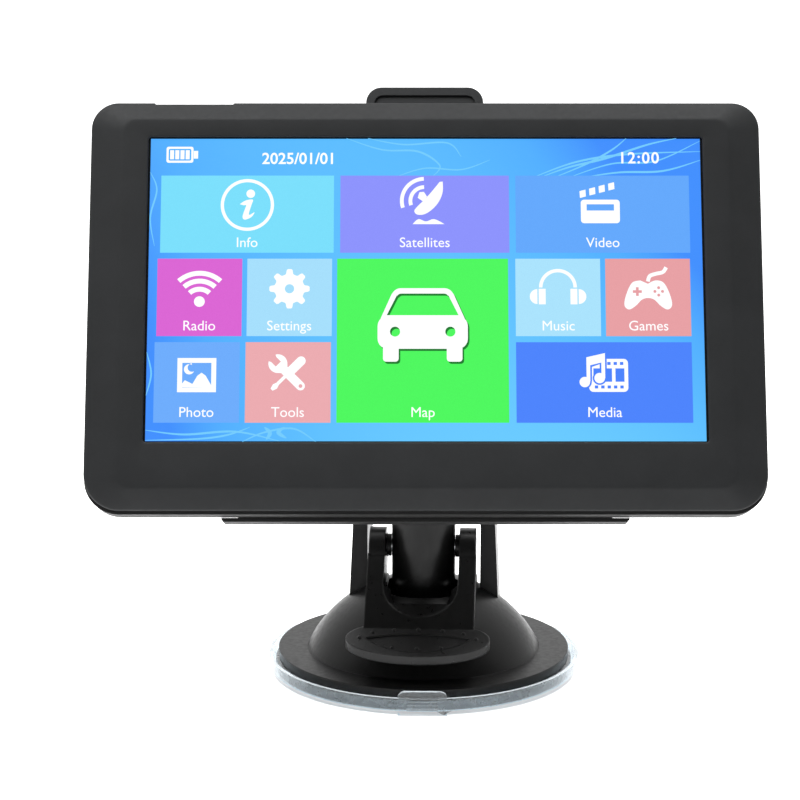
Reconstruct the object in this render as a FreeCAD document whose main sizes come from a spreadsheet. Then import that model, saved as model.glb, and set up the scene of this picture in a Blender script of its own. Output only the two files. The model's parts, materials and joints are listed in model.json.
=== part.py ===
import FreeCAD, Part
import math
import os
import re
import Sketcher
from FreeCAD import Rotation, Vector

# Portable satellite navigator in a clip-in cradle on a suction mount.
# Origin: centre of the underside of the suction pad's protective cap.
# +Z is up, the screen faces -Y, and +X is to the right of someone who reads the screen.
# Millimetres and degrees.

DIMENSIONS = {
    # Where the screen's centre is, and how far the unit leans back
    "screen_back": (-40, "screen centre, Y"),
    "screen_high": (121.5, "screen centre, Z"),
    "lean": (21, "lean of the unit from upright"),
    "mount_turn": (3.5, "turn of the mount below the ball joint, clockwise from above"),
    # Navigator: widths along X, heights up the screen, depths back from the bezel's face
    "unit_wide": (187.2, "outline width"),
    "unit_tall": (115.2, "outline height"),
    "unit_drop": (3.7, "outline centre below the screen centre"),
    "unit_deep": (16, "overall depth"),
    "upper_round": (7.5, "outline radius, upper corners"),
    "lower_round": (10, "outline radius, lower corners"),
    "bevel_side": (9.1, "width of the sloped border at each side"),
    "bevel_end": (5.75, "width of the sloped border at top and bottom"),
    "bevel_deep": (3.5, "depth of the sloped border"),
    "seam_deep": (5.5, "depth of the seam between bezel and rear cover"),
    "wall": (1.8, "wall of the two shells"),
    "window_wide": (154.2, "window in the bezel"),
    "window_tall": (86, "window in the bezel"),
    "lip": (0.8, "thickness of the bezel round the window"),
    "glass_wide": (161.2, "touch panel width"),
    "glass_tall": (92.4, "touch panel height"),
    "glass_thick": (1.2, "touch panel thickness"),
    "gasket_thick": (0.2, "foam gasket"),
    "lcd_thick": (2.7, "display thickness"),
    "back_round": (3.5, "radius of the rear cover's back edge"),
    "board_front": (7.4, "depth of the circuit board's front"),
    "board_thick": (1.2, "circuit board thickness"),
    "board_top": (49.2, "circuit board, upper edge"),
    "board_low": (-49.5, "circuit board, lower edge"),
    "recess_left": (-76.4, "power recess, left end"),
    "recess_right": (-53.9, "power recess, right end"),
    "recess_deep": (0.6, "power recess"),
    "button_side": (-65, "power button, X"),
    "button_back": (9.5, "power button, depth"),
    "button_radius": (2.2, "power button"),
    "port_side": (91.6, "port mouths, distance left of centre"),
    "usb_high": (-38, "power port, height"),
    "card_high": (-24, "card slot, height"),
    "jack_high": (-10, "earphone jack, height"),
    "jack_radius": (1.8, "earphone jack bore"),
    "case_screw_side": (86.5, "case screws"),
    "case_screw_upper": (47.5, "case screws"),
    "case_screw_lower": (-54.5, "case screws"),
    "speaker_side": (71, "loudspeaker, X"),
    "speaker_high": (-40, "loudspeaker, height"),
    "speaker_radius": (11.5, "loudspeaker"),
    # Cradle
    "cradle_front": (16.4, "depth of the cradle's front"),
    "cradle_thick": (2.5, "cradle plate"),
    "ledge_half": (56.4, "half width of the ledge under the unit"),
    "ledge_low": (-63.4, "underside of the ledge"),
    "ledge_thick": (1.1, "ledge"),
    "tab_half": (16.8, "half width of the release latch"),
    "tab_top": (62.5, "top of the release latch"),
    "tab_root": (34, "hinge of the release latch"),
    # Ball joint: its centre lies straight behind the screen's centre
    "ball_back": (38, "depth of the ball's centre"),
    "ball_radius": (8.5, "ball"),
    "cup_inner": (8.8, "friction cup, inside"),
    "cup_outer": (10, "friction cup, outside"),
    "socket_inner": (10.3, "socket of the arm, inside"),
    "thread_radius": (12.4, "threaded neck of the socket"),
    "collar_radius": (15.5, "locking collar"),
    "mount_plate_front": (19.1, "depth of the claw plate's front"),
    "mount_plate_thick": (2.5, "claw plate"),
    # Tilt hinge at the top of the two uprights
    "hinge_back": (12, "tilt hinge, Y"),
    "hinge_high": (66, "tilt hinge, Z"),
    "hinge_radius": (9.5, "hinge eye of the uprights"),
    "barrel_half": (10.4, "half length of the arm's barrel"),
    "bolt_radius": (2.5, "tilt bolt"),
    "upright_inner": (17, "inner faces of the uprights"),
    "upright_low": (9, "height where the uprights start, inside the dome"),
    "upright_foot": (23, "outer faces of the uprights at that height"),
    "upright_head": (19.9, "outer faces of the uprights at their top"),
    "boss_radius": (6.5, "bosses on the uprights for nut and knob"),
    "boss_face": (21.2, "outer faces of those bosses"),
    "knob_radius": (10, "tilt knob"),
    "knob_thick": (11, "tilt knob"),
    "nut_radius": (4.6, "tilt nut, across its corners from the axis"),
    "nut_thick": (3.8, "tilt nut"),
    # Suction base
    "cap_radius": (46, "protective cap"),
    "cap_turn": (0.9, "turn of the protective cap, clockwise from above"),
    "cap_floor": (1, "floor of the protective cap"),
    "cap_high": (5, "rim of the protective cap"),
    "cap_flare": (0.8, "how far the rim leans out"),
    "cap_wall": (0.9, "wall of the protective cap"),
    "pad_radius": (44.6, "suction pad"),
    "pad_top": (3.8, "top of the suction pad's rim"),
    "flange_radius": (43.7, "flange of the base"),
    "flange_top": (6.7, "flange of the base"),
    "dome_radius": (39.3, "sphere of the dome"),
    "dome_centre": (-11, "centre of that sphere, Z"),
    "dome_wall": (2.3, "dome wall"),
    "stem_radius": (9.5, "plunger stem"),
    "guide_radius": (10.9, "guide tube round the stem"),
    "guide_low": (14, "foot of the guide tube"),
    "well_radius": (15, "opening in the dome in front of the stem"),
    "well_half": (10.4, "half width of that opening"),
    "well_floor": (23, "floor of that opening in the guide tube"),
    "stem_top": (46.5, "top of the plunger stem"),
    "foot_low": (7, "underside of the plunger's foot"),
    "spring_wire": (0.6, "release spring, wire radius"),
    "spring_tall": (13.4, "release spring, height of its coils"),
    # Lever with its two cams
    "pin_high": (37.5, "lever pin, Z"),
    "pin_radius": (2, "lever pin"),
    "cam_radius": (8.05, "cam"),
    "cam_forward": (2.51, "cam centre in front of the pin"),
    "cam_drop": (2.05, "cam centre below the pin"),
    "cam_rest": (27.3, "top of the pads that the cams bear on"),
    "ear_inner": (11, "inner faces of the lever's ears"),
    "ear_outer": (15.8, "outer faces of the lever's ears"),
    "web_half": (16, "half width of the lever's web"),
    "web_slope": (43.9, "slope of the web's face"),
    "mouth_forward": (17.4, "centre of the round end of the web's opening, in front of the pin"),
    "mouth_high": (30.3, "the same centre on the web's face, Z"),
    "mouth_narrow": (9, "radius of that round end inside its bevel"),
    "thumb_forward": (33, "centre of the thumb pad, in front of the pin"),
    "thumb_high": (18.6, "centre of the thumb pad's face, Z"),
    "thumb_tilt": (15, "tilt of the thumb pad"),
    "thumb_long": (20.8, "half length of the thumb pad"),
    "thumb_wide": (9.6, "half width of the thumb pad"),
    "thumb_thick": (2.9, "thumb pad"),
    "scoop_deep": (0.5, "scoop in the thumb pad"),
    "scoop_back_radius": (46.25, "arc of the scoop's back edge"),
    "scoop_back": (2.5, "reach of that arc behind the pad's long axis"),
    "scoop_front_radius": (19.2, "arc of the scoop's front edge"),
    "scoop_front": (7.2, "reach of that arc in front of the long axis"),
    "dot_radius": (0.5, "grip dots"),
}

# Grip dots of the thumb pad: distances from its centre, right and back
BACK_DOTS = [(-16.8, 0), (-13.1, 2.9), (-7, 4.2), (0, 4.6), (7, 4.2), (13.1, 2.9), (16.8, 0)]
SCOOP_DOTS = [(-13.1, -2.9), (-7, -4.2), (0, -4.6), (7, -4.2), (13.1, -2.9)]

doc = FreeCAD.newDocument("navigator")
sheet = doc.addObject("Spreadsheet::Sheet", "Dims")
for row, (alias, (value, note)) in enumerate(DIMENSIONS.items(), 1):
    sheet.set(f"A{row}", note)
    sheet.set(f"B{row}", str(value))
    sheet.setAlias(f"B{row}", alias)
doc.recompute()

WORD = re.compile("[a-z_]+")
sums = doc.addObject("Spreadsheet::Sheet", "Sums")
made = []


def size(alias):
    """A cell's value as a number."""
    return float(sheet.get(alias))


def spelled(formula):
    """A formula with each of the sheet's words given its sheet's name."""
    def cell(word):
        return "Dims." + word[0] if word[0] in DIMENSIONS else word[0]
    return WORD.sub(cell, str(formula))


def worth(formula):
    """What a formula comes to, worked out on a sheet that nothing else is bound to."""
    sums.set("A1", "=" + spelled(formula))
    sums.recompute()
    return float(sums.get("A1"))


def bind(thing, path, formula):
    """Bind a property to a formula of the sheet's words."""
    thing.setExpression(path, spelled(formula))


def place(thing, at=(0, 0, 0), axis=None, angle=0):
    """Bind a placement: a point, and a turn about an axis."""
    for letter, formula in zip("xyz", at):
        bind(thing, "Placement.Base." + letter, formula)
    if axis:
        thing.Placement.Rotation = Rotation(Vector(*axis), 1)
        bind(thing, "Placement.Rotation.Angle", angle)


def on_unit(thing):
    """The unit's own frame: X right, Y into the unit, Z up the screen, from the screen's centre."""
    place(thing, ("0", "screen_back", "screen_high"), (1, 0, 0), "-lean")


def on_mount(thing):
    """The mount's own frame: the row's frame turned about Z."""
    place(thing, axis=(0, 0, 1), angle="-mount_turn")


def finish_part(thing, label, where=None):
    """Name a sub-part, put it in its frame and keep it for export."""
    thing.Label = label
    if where:
        where(thing)
    made.append(thing)


# Primitives and booleans

def block(size_xyz, at=(0, 0, 0)):
    """A box from its lowest corner."""
    box = doc.addObject("Part::Box", "Block")
    for side, formula in zip(("Length", "Width", "Height"), size_xyz):
        bind(box, side, formula)
    place(box, at)
    return box


TURN = {"x": ((0, 1, 0), 90), "y": ((1, 0, 0), -90), "z": (None, 0)}


def rod(radius, length, at=(0, 0, 0), along="z"):
    """A cylinder that starts at a point and runs along an axis."""
    cylinder = doc.addObject("Part::Cylinder", "Rod")
    bind(cylinder, "Radius", radius)
    bind(cylinder, "Height", length)
    place(cylinder, at, *TURN[along])
    return cylinder


def taper(radius_low, radius_high, length, at=(0, 0, 0), along="z"):
    """A cone frustum that starts at a point and runs along an axis."""
    cone = doc.addObject("Part::Cone", "Taper")
    bind(cone, "Radius1", radius_low)
    bind(cone, "Radius2", radius_high)
    bind(cone, "Height", length)
    place(cone, at, *TURN[along])
    return cone


def sphere(radius, at=(0, 0, 0)):
    """A full sphere about a point."""
    globe = doc.addObject("Part::Sphere", "Globe")
    bind(globe, "Radius", radius)
    place(globe, at)
    return globe


def oval(half_long, half_wide, thick):
    """An elliptical plate whose face is on the XY plane and whose length runs along X."""
    edge = doc.addObject("Part::Ellipse", "Oval")
    bind(edge, "MajorRadius", half_long)
    bind(edge, "MinorRadius", half_wide)
    plate = doc.addObject("Part::Extrusion", "Plate")
    plate.Base = edge
    plate.DirMode = "Custom"
    plate.Dir = Vector(0, 0, -1)
    bind(plate, "LengthFwd", thick)
    plate.Solid = True
    return plate


def fuse(*pieces):
    """One solid out of several."""
    joined = doc.addObject("Part::MultiFuse", "Fuse")
    joined.Shapes = list(pieces)
    joined.Refine = True
    return joined


def cut(base, *tools):
    """A solid less one or more tools."""
    result = doc.addObject("Part::Cut", "Cut")
    result.Base = base
    result.Tool = tools[0] if len(tools) == 1 else fuse(*tools)
    result.Refine = True
    return result


def common(first, second):
    """What two solids share."""
    result = doc.addObject("Part::Common", "Common")
    result.Base = first
    result.Tool = second
    return result


def group(*pieces):
    """Identical separate solids as one sub-part."""
    together = doc.addObject("Part::Compound", "Group")
    together.Links = list(pieces)
    return together


# Sketches and PartDesign features

def new_body():
    return doc.addObject("PartDesign::Body", "Body")


def sketch(body, plane, level="0"):
    """A sketch on one of the body's own planes, moved along the plane's normal."""
    flat = body.newObject("Sketcher::SketchObject", "Sketch")
    origin = next(f for f in body.Origin.OriginFeatures if f.Role == plane)
    flat.AttachmentSupport = (origin, [""])
    flat.MapMode = "FlatFace"
    bind(flat, "AttachmentOffset.Base.z", level)
    return flat


def fix_point(flat, edge, end, across, up):
    """Hold an end of a sketched edge at two bound distances from the origin."""
    for kind, formula in (("DistanceX", across), ("DistanceY", up)):
        number = flat.addConstraint(Sketcher.Constraint(kind, -1, 1, edge, end, worth(formula)))
        bind(flat, f"Constraints[{number}]", formula)


def polygon(flat, corners):
    """A closed outline of straight edges, from pairs of formulas."""
    first = flat.GeometryCount
    count = len(corners)
    start = [Vector(worth(across), worth(up), 0) for across, up in corners]
    for step in range(count):
        flat.addGeometry(Part.LineSegment(start[step], start[(step + 1) % count]), False)
    for step in range(count):
        following = (step + 1) % count
        flat.addConstraint(Sketcher.Constraint("Coincident", first + step, 2, first + following, 1))
    for step, (across, up) in enumerate(corners):
        fix_point(flat, first + step, 1, across, up)


def circle(flat, radius, across="0", up="0"):
    middle = Vector(worth(across), worth(up), 0)
    edge = flat.addGeometry(Part.Circle(middle, Vector(0, 0, 1), worth(radius)), False)
    fix_point(flat, edge, 3, across, up)
    number = flat.addConstraint(Sketcher.Constraint("Radius", edge, worth(radius)))
    bind(flat, f"Constraints[{number}]", radius)


def rounded(flat, left, right, low, high, radii):
    """A rectangle with arcs at its corners: radii for lower left, lower right, upper right, upper left."""
    first = flat.GeometryCount
    west, east, south, north = worth(left), worth(right), worth(low), worth(high)
    turn = [worth(radius) for radius in radii]
    ends = ((west + turn[0], south, east - turn[1], south), (east, south + turn[1], east, north - turn[2]),
            (east - turn[2], north, west + turn[3], north), (west, north - turn[3], west, south + turn[0]))
    for ax, ay, bx, by in ends:
        flat.addGeometry(Part.LineSegment(Vector(ax, ay, 0), Vector(bx, by, 0)), False)
    centres = ((west + turn[0], south + turn[0]), (east - turn[1], south + turn[1]),
               (east - turn[2], north - turn[2]), (west + turn[3], north - turn[3]))
    for quarter, (across, up) in enumerate(centres):
        ring = Part.Circle(Vector(across, up, 0), Vector(0, 0, 1), turn[quarter])
        begin = math.pi * (1 + quarter / 2)
        flat.addGeometry(Part.ArcOfCircle(ring, begin, begin + math.pi / 2), False)
    for corner in range(4):
        arc = first + 4 + corner
        before = first + (corner + 3) % 4
        flat.addConstraint(Sketcher.Constraint("Tangent", before, 2, arc, 1))
        flat.addConstraint(Sketcher.Constraint("Tangent", arc, 2, first + corner, 1))
        number = flat.addConstraint(Sketcher.Constraint("Radius", arc, turn[corner]))
        bind(flat, f"Constraints[{number}]", radii[corner])
    for side, kind in enumerate(("Horizontal", "Vertical", "Horizontal", "Vertical")):
        flat.addConstraint(Sketcher.Constraint(kind, first + side))
    limits = (("DistanceY", 0, low), ("DistanceX", 1, right), ("DistanceY", 2, high), ("DistanceX", 3, left))
    for kind, side, formula in limits:
        number = flat.addConstraint(Sketcher.Constraint(kind, -1, 1, first + side, 1, worth(formula)))
        bind(flat, f"Constraints[{number}]", formula)


def pad(body, flat, length, backwards=False, symmetric=False):
    feature = body.newObject("PartDesign::Pad", "Pad")
    feature.Profile = flat
    bind(feature, "Length", length)
    feature.Reversed = backwards
    feature.Midplane = symmetric
    return feature


def pocket(body, flat, length, backwards=False, symmetric=False):
    """Cut a sketch out of the body, and make sure that it cuts."""
    doc.recompute()
    before = body.Shape.Volume
    feature = body.newObject("PartDesign::Pocket", "Pocket")
    feature.Profile = flat
    bind(feature, "Length", length)
    feature.Reversed = backwards
    feature.Midplane = symmetric
    doc.recompute()
    if body.Shape.Volume > before - 0.01:
        raise ValueError(body.Label + ": a pocket cuts nothing")
    return feature


def ease(body, kind, amount, chosen):
    """A Fillet or Chamfer on the edges of the body's last feature that a test chooses."""
    doc.recompute()
    base = body.Tip
    names = [f"Edge{n}" for n, edge in enumerate(base.Shape.Edges, 1) if chosen(edge)]
    feature = body.newObject("PartDesign::" + kind, kind)
    feature.Base = (base, names)
    bind(feature, "Radius" if kind == "Fillet" else "Size", amount)
    return feature


def runs_along(edge, letter):
    """Whether a straight edge runs along an axis."""
    if not isinstance(edge.Curve, Part.Line):
        return False
    return abs(getattr(edge.Curve.Direction, letter)) > 0.999


def rounded_plate(label, front, thick, limits, radius):
    """A flat piece of the unit: left, right, low and high limits, and one corner radius."""
    body = new_body()
    face = sketch(body, "XZ_Plane", f"-({front})")
    rounded(face, *limits, (radius,) * 4)
    pad(body, face, thick, backwards=True)
    finish_part(body, label, on_unit)


# Outline of the navigator, less an inset, as formulas

def unit_outline(flat, inset_side="0", inset_end="0", lower_by="0"):
    """The unit's rounded outline, made smaller by two insets."""
    across = f"unit_wide / 2 - ({inset_side})"
    low = f"-unit_tall / 2 - unit_drop + ({inset_end}) - ({lower_by})"
    high = f"unit_tall / 2 - unit_drop - ({inset_end})"
    lower = f"lower_round - ({inset_end}) * 0.9"
    upper = f"upper_round - ({inset_end}) * 0.6"
    rounded(flat, f"-({across})", across, low, high, (lower, lower, upper, upper))


def cut_power_recess(body, front, deep):
    """The shallow recess in the top edge round the power button, from one depth over another."""
    floor = "unit_tall / 2 - unit_drop - recess_deep"
    above = "unit_tall / 2 - unit_drop + 1"
    notch = sketch(body, "XZ_Plane", f"-({front})")
    polygon(notch, [("recess_left", floor), ("recess_right", floor), ("recess_right + 1", above),
                    ("recess_left - 1", above)])
    pocket(body, notch, deep)


CASE_SCREWS = [(side, high) for side in ("case_screw_side", "-case_screw_side")
               for high in ("case_screw_upper", "case_screw_lower")]
BOARD_SCREWS = [("-78", "44"), ("14", "44"), ("-82", "-46"), ("14", "-46")]


def make_front_bezel():
    """Frame round the screen: flat face, sloped border, rim that meets the rear cover."""
    body = new_body()
    face = sketch(body, "XZ_Plane", "0")
    unit_outline(face, "bevel_side", "bevel_end")
    edge = sketch(body, "XZ_Plane", "-bevel_deep")
    unit_outline(edge)
    slope = body.newObject("PartDesign::AdditiveLoft", "Slope")
    slope.Profile = face
    slope.Sections = [edge]
    slope.Ruled = True
    rim = sketch(body, "XZ_Plane", "-bevel_deep")
    unit_outline(rim)
    pad(body, rim, "seam_deep - bevel_deep", backwards=True)
    hollow = sketch(body, "XZ_Plane", "-seam_deep")
    unit_outline(hollow, "wall", "wall")
    pocket(body, hollow, "wall - 0.2", backwards=True)
    seat = sketch(body, "XZ_Plane", "-seam_deep")
    rounded(seat, "-glass_wide / 2 - 0.4", "glass_wide / 2 + 0.4", "-glass_tall / 2 - 0.4",
            "glass_tall / 2 + 0.4", ("1.5",) * 4)
    pocket(body, seat, "seam_deep - lip", backwards=True)
    window = sketch(body, "XZ_Plane", "-seam_deep")
    rounded(window, "-window_wide / 2", "window_wide / 2", "-window_tall / 2", "window_tall / 2",
            ("0.8",) * 4)
    pocket(body, window, "seam_deep + 1", backwards=True)
    bosses = sketch(body, "XZ_Plane", "-seam_deep")
    for across, up in CASE_SCREWS:
        circle(bosses, "3.2", across, up)
    pad(body, bosses, "wall")
    holes = sketch(body, "XZ_Plane", "-seam_deep")
    for across, up in CASE_SCREWS:
        circle(holes, "1.1", across, up)
    pocket(body, holes, "3.2", backwards=True)
    cut_power_recess(body, "2.5", "seam_deep")
    finish_part(body, "front_bezel", on_unit)


def make_rear_cover():
    """Tray that closes the back, with port holes, sound slots, screw bosses and the power recess."""
    body = new_body()
    shell = sketch(body, "XZ_Plane", "-seam_deep")
    unit_outline(shell, "0", "0.3", "1.2")
    pad(body, shell, "unit_deep - seam_deep", backwards=True)
    back = size("unit_deep")
    ease(body, "Fillet", "back_round",
         lambda e: min(v.Y for v in e.Vertexes) > back - 0.01 and e.BoundBox.YLength < 0.01)
    hollow = sketch(body, "XZ_Plane", "-seam_deep")
    unit_outline(hollow, "wall", "wall + 0.3", "1.2")
    pocket(body, hollow, "unit_deep - seam_deep - wall")
    bosses = sketch(body, "XZ_Plane", "-seam_deep")
    for across, up in CASE_SCREWS:
        circle(bosses, "3.2", across, up)
    pad(body, bosses, "unit_deep - seam_deep - wall", backwards=True)
    posts = sketch(body, "XZ_Plane", "-board_front - board_thick")
    for across, up in BOARD_SCREWS:
        circle(posts, "2.4", across, up)
    pad(body, posts, "unit_deep - wall - board_front - board_thick", backwards=True)
    threads = sketch(body, "XZ_Plane", "-board_front - board_thick")
    for across, up in BOARD_SCREWS:
        circle(threads, "1.1", across, up)
    pocket(body, threads, "4.4")
    holes = sketch(body, "XZ_Plane", "-seam_deep")
    for across, up in CASE_SCREWS:
        circle(holes, "1.35", across, up)
    pocket(body, holes, "unit_deep")
    heads = sketch(body, "XZ_Plane", "-unit_deep")
    for across, up in CASE_SCREWS:
        circle(heads, "2.5", across, up)
    pocket(body, heads, "2.4", backwards=True)
    slots = sketch(body, "XZ_Plane", "-unit_deep - 1")
    for step in range(-3, 4):
        half = round(math.sqrt(10 ** 2 - (2.8 * step) ** 2), 1)
        rounded(slots, f"speaker_side + {2.8 * step} - 0.7", f"speaker_side + {2.8 * step} + 0.7",
                f"speaker_high - {half}", f"speaker_high + {half}", ("0.6",) * 4)
    pocket(body, slots, "wall + 2", backwards=True)
    ports = sketch(body, "YZ_Plane", "-unit_wide / 2 - 1")
    rounded(ports, "8.2", "12.8", "usb_high - 4.4", "usb_high + 4.4", ("1",) * 4)
    rounded(ports, "8.4", "11", "card_high - 7", "card_high + 7", ("0.6",) * 4)
    circle(ports, "3", "10.9", "jack_high")
    pocket(body, ports, "wall + 1.4", backwards=True)
    recess = sketch(body, "YZ_Plane", "-unit_wide / 2 - 1")
    rounded(recess, "7.4", "14.6", "-46", "-1", ("1.5",) * 4)
    pocket(body, recess, "1.5", backwards=True)
    cut_power_recess(body, "seam_deep - 1", "9")
    bore = sketch(body, "XY_Plane", "unit_tall / 2")
    circle(bore, "button_radius + 0.2", "button_side", "button_back")
    pocket(body, bore, "wall + 8")
    dots = sketch(body, "XY_Plane", "unit_tall / 2 - unit_drop - recess_deep - 0.2")
    for away in (-8.1, -5.1, 5, 7.8):
        circle(dots, "0.6", f"button_side + {away}", "button_back")
    pad(body, dots, "0.6")
    finish_part(body, "rear_cover", on_unit)


def make_screen():
    """Gasket, touch panel, display and its backlight tray, in a stack behind the window."""
    corner = ("-glass_wide / 2", "lip", "-glass_tall / 2")
    gasket = cut(block(("glass_wide", "gasket_thick", "glass_tall"), corner),
                 block(("window_wide + 1", "2", "window_tall + 1"),
                       ("-window_wide / 2 - 0.5", "lip - 1", "-window_tall / 2 - 0.5")))
    finish_part(gasket, "screen_gasket", on_unit)
    glass_front = "lip + gasket_thick"
    display_front = f"{glass_front} + glass_thick"
    tray_front = f"{display_front} + lcd_thick"
    stack = (("touch_panel", glass_front, "glass_thick", "0"),
             ("lcd_panel", display_front, "lcd_thick", "0.6"),
             ("backlight_tray", tray_front, "1.2", "0"))
    for label, front, thick, inset in stack:
        rounded_plate(label, front, thick,
                      (f"-glass_wide / 2 + {inset}", f"glass_wide / 2 - {inset}",
                       f"-glass_tall / 2 + {inset}", f"glass_tall / 2 - {inset}"), "1")


def make_electronics():
    """Circuit board and what is soldered to it or plugged into it."""
    board = new_body()
    face = sketch(board, "XZ_Plane", "-board_front")
    polygon(face, [("-82.5", "board_top"), ("-82.5", "3"), ("-88", "3"), ("-88", "board_low"),
                   ("20", "board_low"), ("20", "board_top")])
    pad(board, face, "board_thick", backwards=True)
    holes = sketch(board, "XZ_Plane", "-board_front")
    for across, up in BOARD_SCREWS:
        circle(holes, "1.2", across, up)
    pocket(board, holes, "board_thick + 1")
    finish_part(board, "main_board", on_unit)
    back = "board_front + board_thick"
    rounded_plate("shield_can", back, "2.8", ("-62", "-24", "-20", "20"), "1")
    rounded_plate("gps_antenna", back, "4", ("-14", "11", "16", "41"), "0.5")
    switch = fuse(block(("6", "2.6", "4.2"), ("button_side - 3", back, "43.6")),
                  rod("0.9", "1.2", ("button_side", "button_back", "47.2")))
    finish_part(switch, "tact_switch", on_unit)
    usb = cut(block(("8.4", "3.9", "7.8"), ("-port_side", back, "usb_high - 3.9")),
              block(("7", "3", "6.8"), ("-port_side - 1", f"{back} + 0.45", "usb_high - 3.4")))
    finish_part(usb, "usb_port", on_unit)
    card = cut(block(("14.5", "2", "13.4"), ("-port_side", back, "card_high - 6.7")),
               block(("14", "1.1", "11.4"), ("-port_side - 1", f"{back} + 0.45", "card_high - 5.7")))
    finish_part(card, "card_slot", on_unit)
    jack = cut(block(("12", "4.8", "6.2"), ("-port_side", back, "jack_high - 3.1")),
               rod("jack_radius", "12", ("-port_side - 1", f"{back} + 2.3", "jack_high"), "x"))
    finish_part(jack, "audio_jack", on_unit)
    rounded_plate("battery", "7", "5.4", ("25", "83", "-25", "41"), "2.5")
    speaker = fuse(rod("speaker_radius", "3", ("speaker_side", "10.6", "speaker_high"), "y"),
                   rod("speaker_radius - 4", "3", ("speaker_side", "8", "speaker_high"), "y"))
    finish_part(speaker, "speaker", on_unit)
    flex = new_body()
    side = sketch(flex, "YZ_Plane")
    polygon(side, [("4.2", "-46"), ("4.2", "-48.4"), ("6.9", "-48.4"), ("6.9", "-42"), ("6.7", "-42"),
                   ("6.7", "-48.2"), ("4.4", "-48.2"), ("4.4", "-46")])
    pad(flex, side, "22", symmetric=True)
    finish_part(flex, "lcd_flex", on_unit)


def make_screws():
    """Four screws that close the case from the back, and four that hold the circuit board."""
    case = []
    for across, up in CASE_SCREWS:
        head = rod("2.2", "1.5", (across, "unit_deep - 2.2 - 0.2", up), "y")
        shank = rod("1", "unit_deep - 5.2", (across, "3", up), "y")
        case.append(fuse(head, shank))
    finish_part(group(*case), "case_screws", on_unit)
    board = []
    for across, up in BOARD_SCREWS:
        head = rod("1.8", "0.9", (across, "board_front - 0.9", up), "y")
        shank = rod("0.95", "5", (across, "board_front", up), "y")
        board.append(fuse(head, shank))
    finish_part(group(*board), "board_screws", on_unit)


def make_power_button():
    """Domed key in the top edge, with a flange that keeps it in."""
    top = "unit_tall / 2 - unit_drop - recess_deep"
    stem = rod("button_radius", "3.2", ("button_side", "button_back", f"{top} - 2.2"))
    dome = common(sphere("4", ("button_side", "button_back", f"{top} - 2.9")),
                  rod("button_radius", "6", ("button_side", "button_back", f"{top} - 2.2")))
    flange = rod("button_radius + 0.8", "0.8", ("button_side", "button_back", f"{top} - 2.9"))
    finish_part(fuse(common(stem, dome), flange), "power_button", on_unit)


def make_cradle():
    """Back plate that the navigator clips into, with a ledge below and slots for the four claws."""
    body = new_body()
    plate = sketch(body, "XZ_Plane", "-cradle_front")
    polygon(plate, [("-52", "ledge_low"), ("52", "ledge_low"), ("52", "-44"), ("32", "-8"), ("32", "30"),
                    ("24", "44"), ("-24", "44"), ("-32", "30"), ("-32", "-8"), ("-52", "-44")])
    pad(body, plate, "cradle_thick", backwards=True)
    ease(body, "Fillet", "6", lambda e: runs_along(e, "y") and e.BoundBox.ZMin > -50)
    ledge = sketch(body, "YZ_Plane")
    polygon(ledge, [("12.4", "ledge_low"), ("cradle_front + cradle_thick", "ledge_low"),
                    ("cradle_front + cradle_thick", "ledge_low + ledge_thick"),
                    ("12.4", "ledge_low + ledge_thick")])
    pad(body, ledge, "2 * ledge_half", symmetric=True)
    ends = sketch(body, "XZ_Plane", "-12")
    polygon(ends, [("-ledge_half - 1", "ledge_low - 1"), ("-ledge_half + 1.6", "ledge_low - 1"),
                   ("-ledge_half - 0.4", "ledge_low + ledge_thick"),
                   ("-ledge_half - 1", "ledge_low + ledge_thick")])
    polygon(ends, [("ledge_half - 1.6", "ledge_low - 1"), ("ledge_half + 1", "ledge_low - 1"),
                   ("ledge_half + 1", "ledge_low + ledge_thick"),
                   ("ledge_half + 0.4", "ledge_low + ledge_thick")])
    pocket(body, ends, "10")
    lugs = sketch(body, "YZ_Plane")
    circle(lugs, "2.1", "cradle_front + cradle_thick + 0.3", "tab_root")
    pad(body, lugs, "2 * tab_half + 6.4", symmetric=True)
    pin_hole = sketch(body, "YZ_Plane")
    circle(pin_hole, "0.83", "cradle_front + cradle_thick + 0.3", "tab_root")
    pocket(body, pin_hole, "2 * tab_half + 10", symmetric=True)
    gate = sketch(body, "XZ_Plane", "-cradle_front")
    rounded(gate, "-tab_half - 0.6", "tab_half + 0.6", "tab_root - 3.4", "50", ("1",) * 4)
    pocket(body, gate, "cradle_thick + 4")
    wells = sketch(body, "XZ_Plane", "-cradle_front")
    slots = sketch(body, "XZ_Plane", "-cradle_front")
    for across in (-14, 14):
        for up in (-9, 9):
            rounded(wells, f"{across} - 4", f"{across} + 4", f"{up} - 2", f"{up} + 4", ("0.5",) * 4)
            rounded(slots, f"{across} - 3.4", f"{across} + 3.4", f"{up} - 1.6", f"{up} + 1.6",
                    ("0.4",) * 4)
    pocket(body, wells, "1.3")
    pocket(body, slots, "cradle_thick + 1")
    relief = sketch(body, "XZ_Plane", "-cradle_front")
    circle(relief, "4.6", "0", "0")
    pocket(body, relief, "cradle_thick + 1")
    finish_part(body, "cradle", on_unit)


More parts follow.
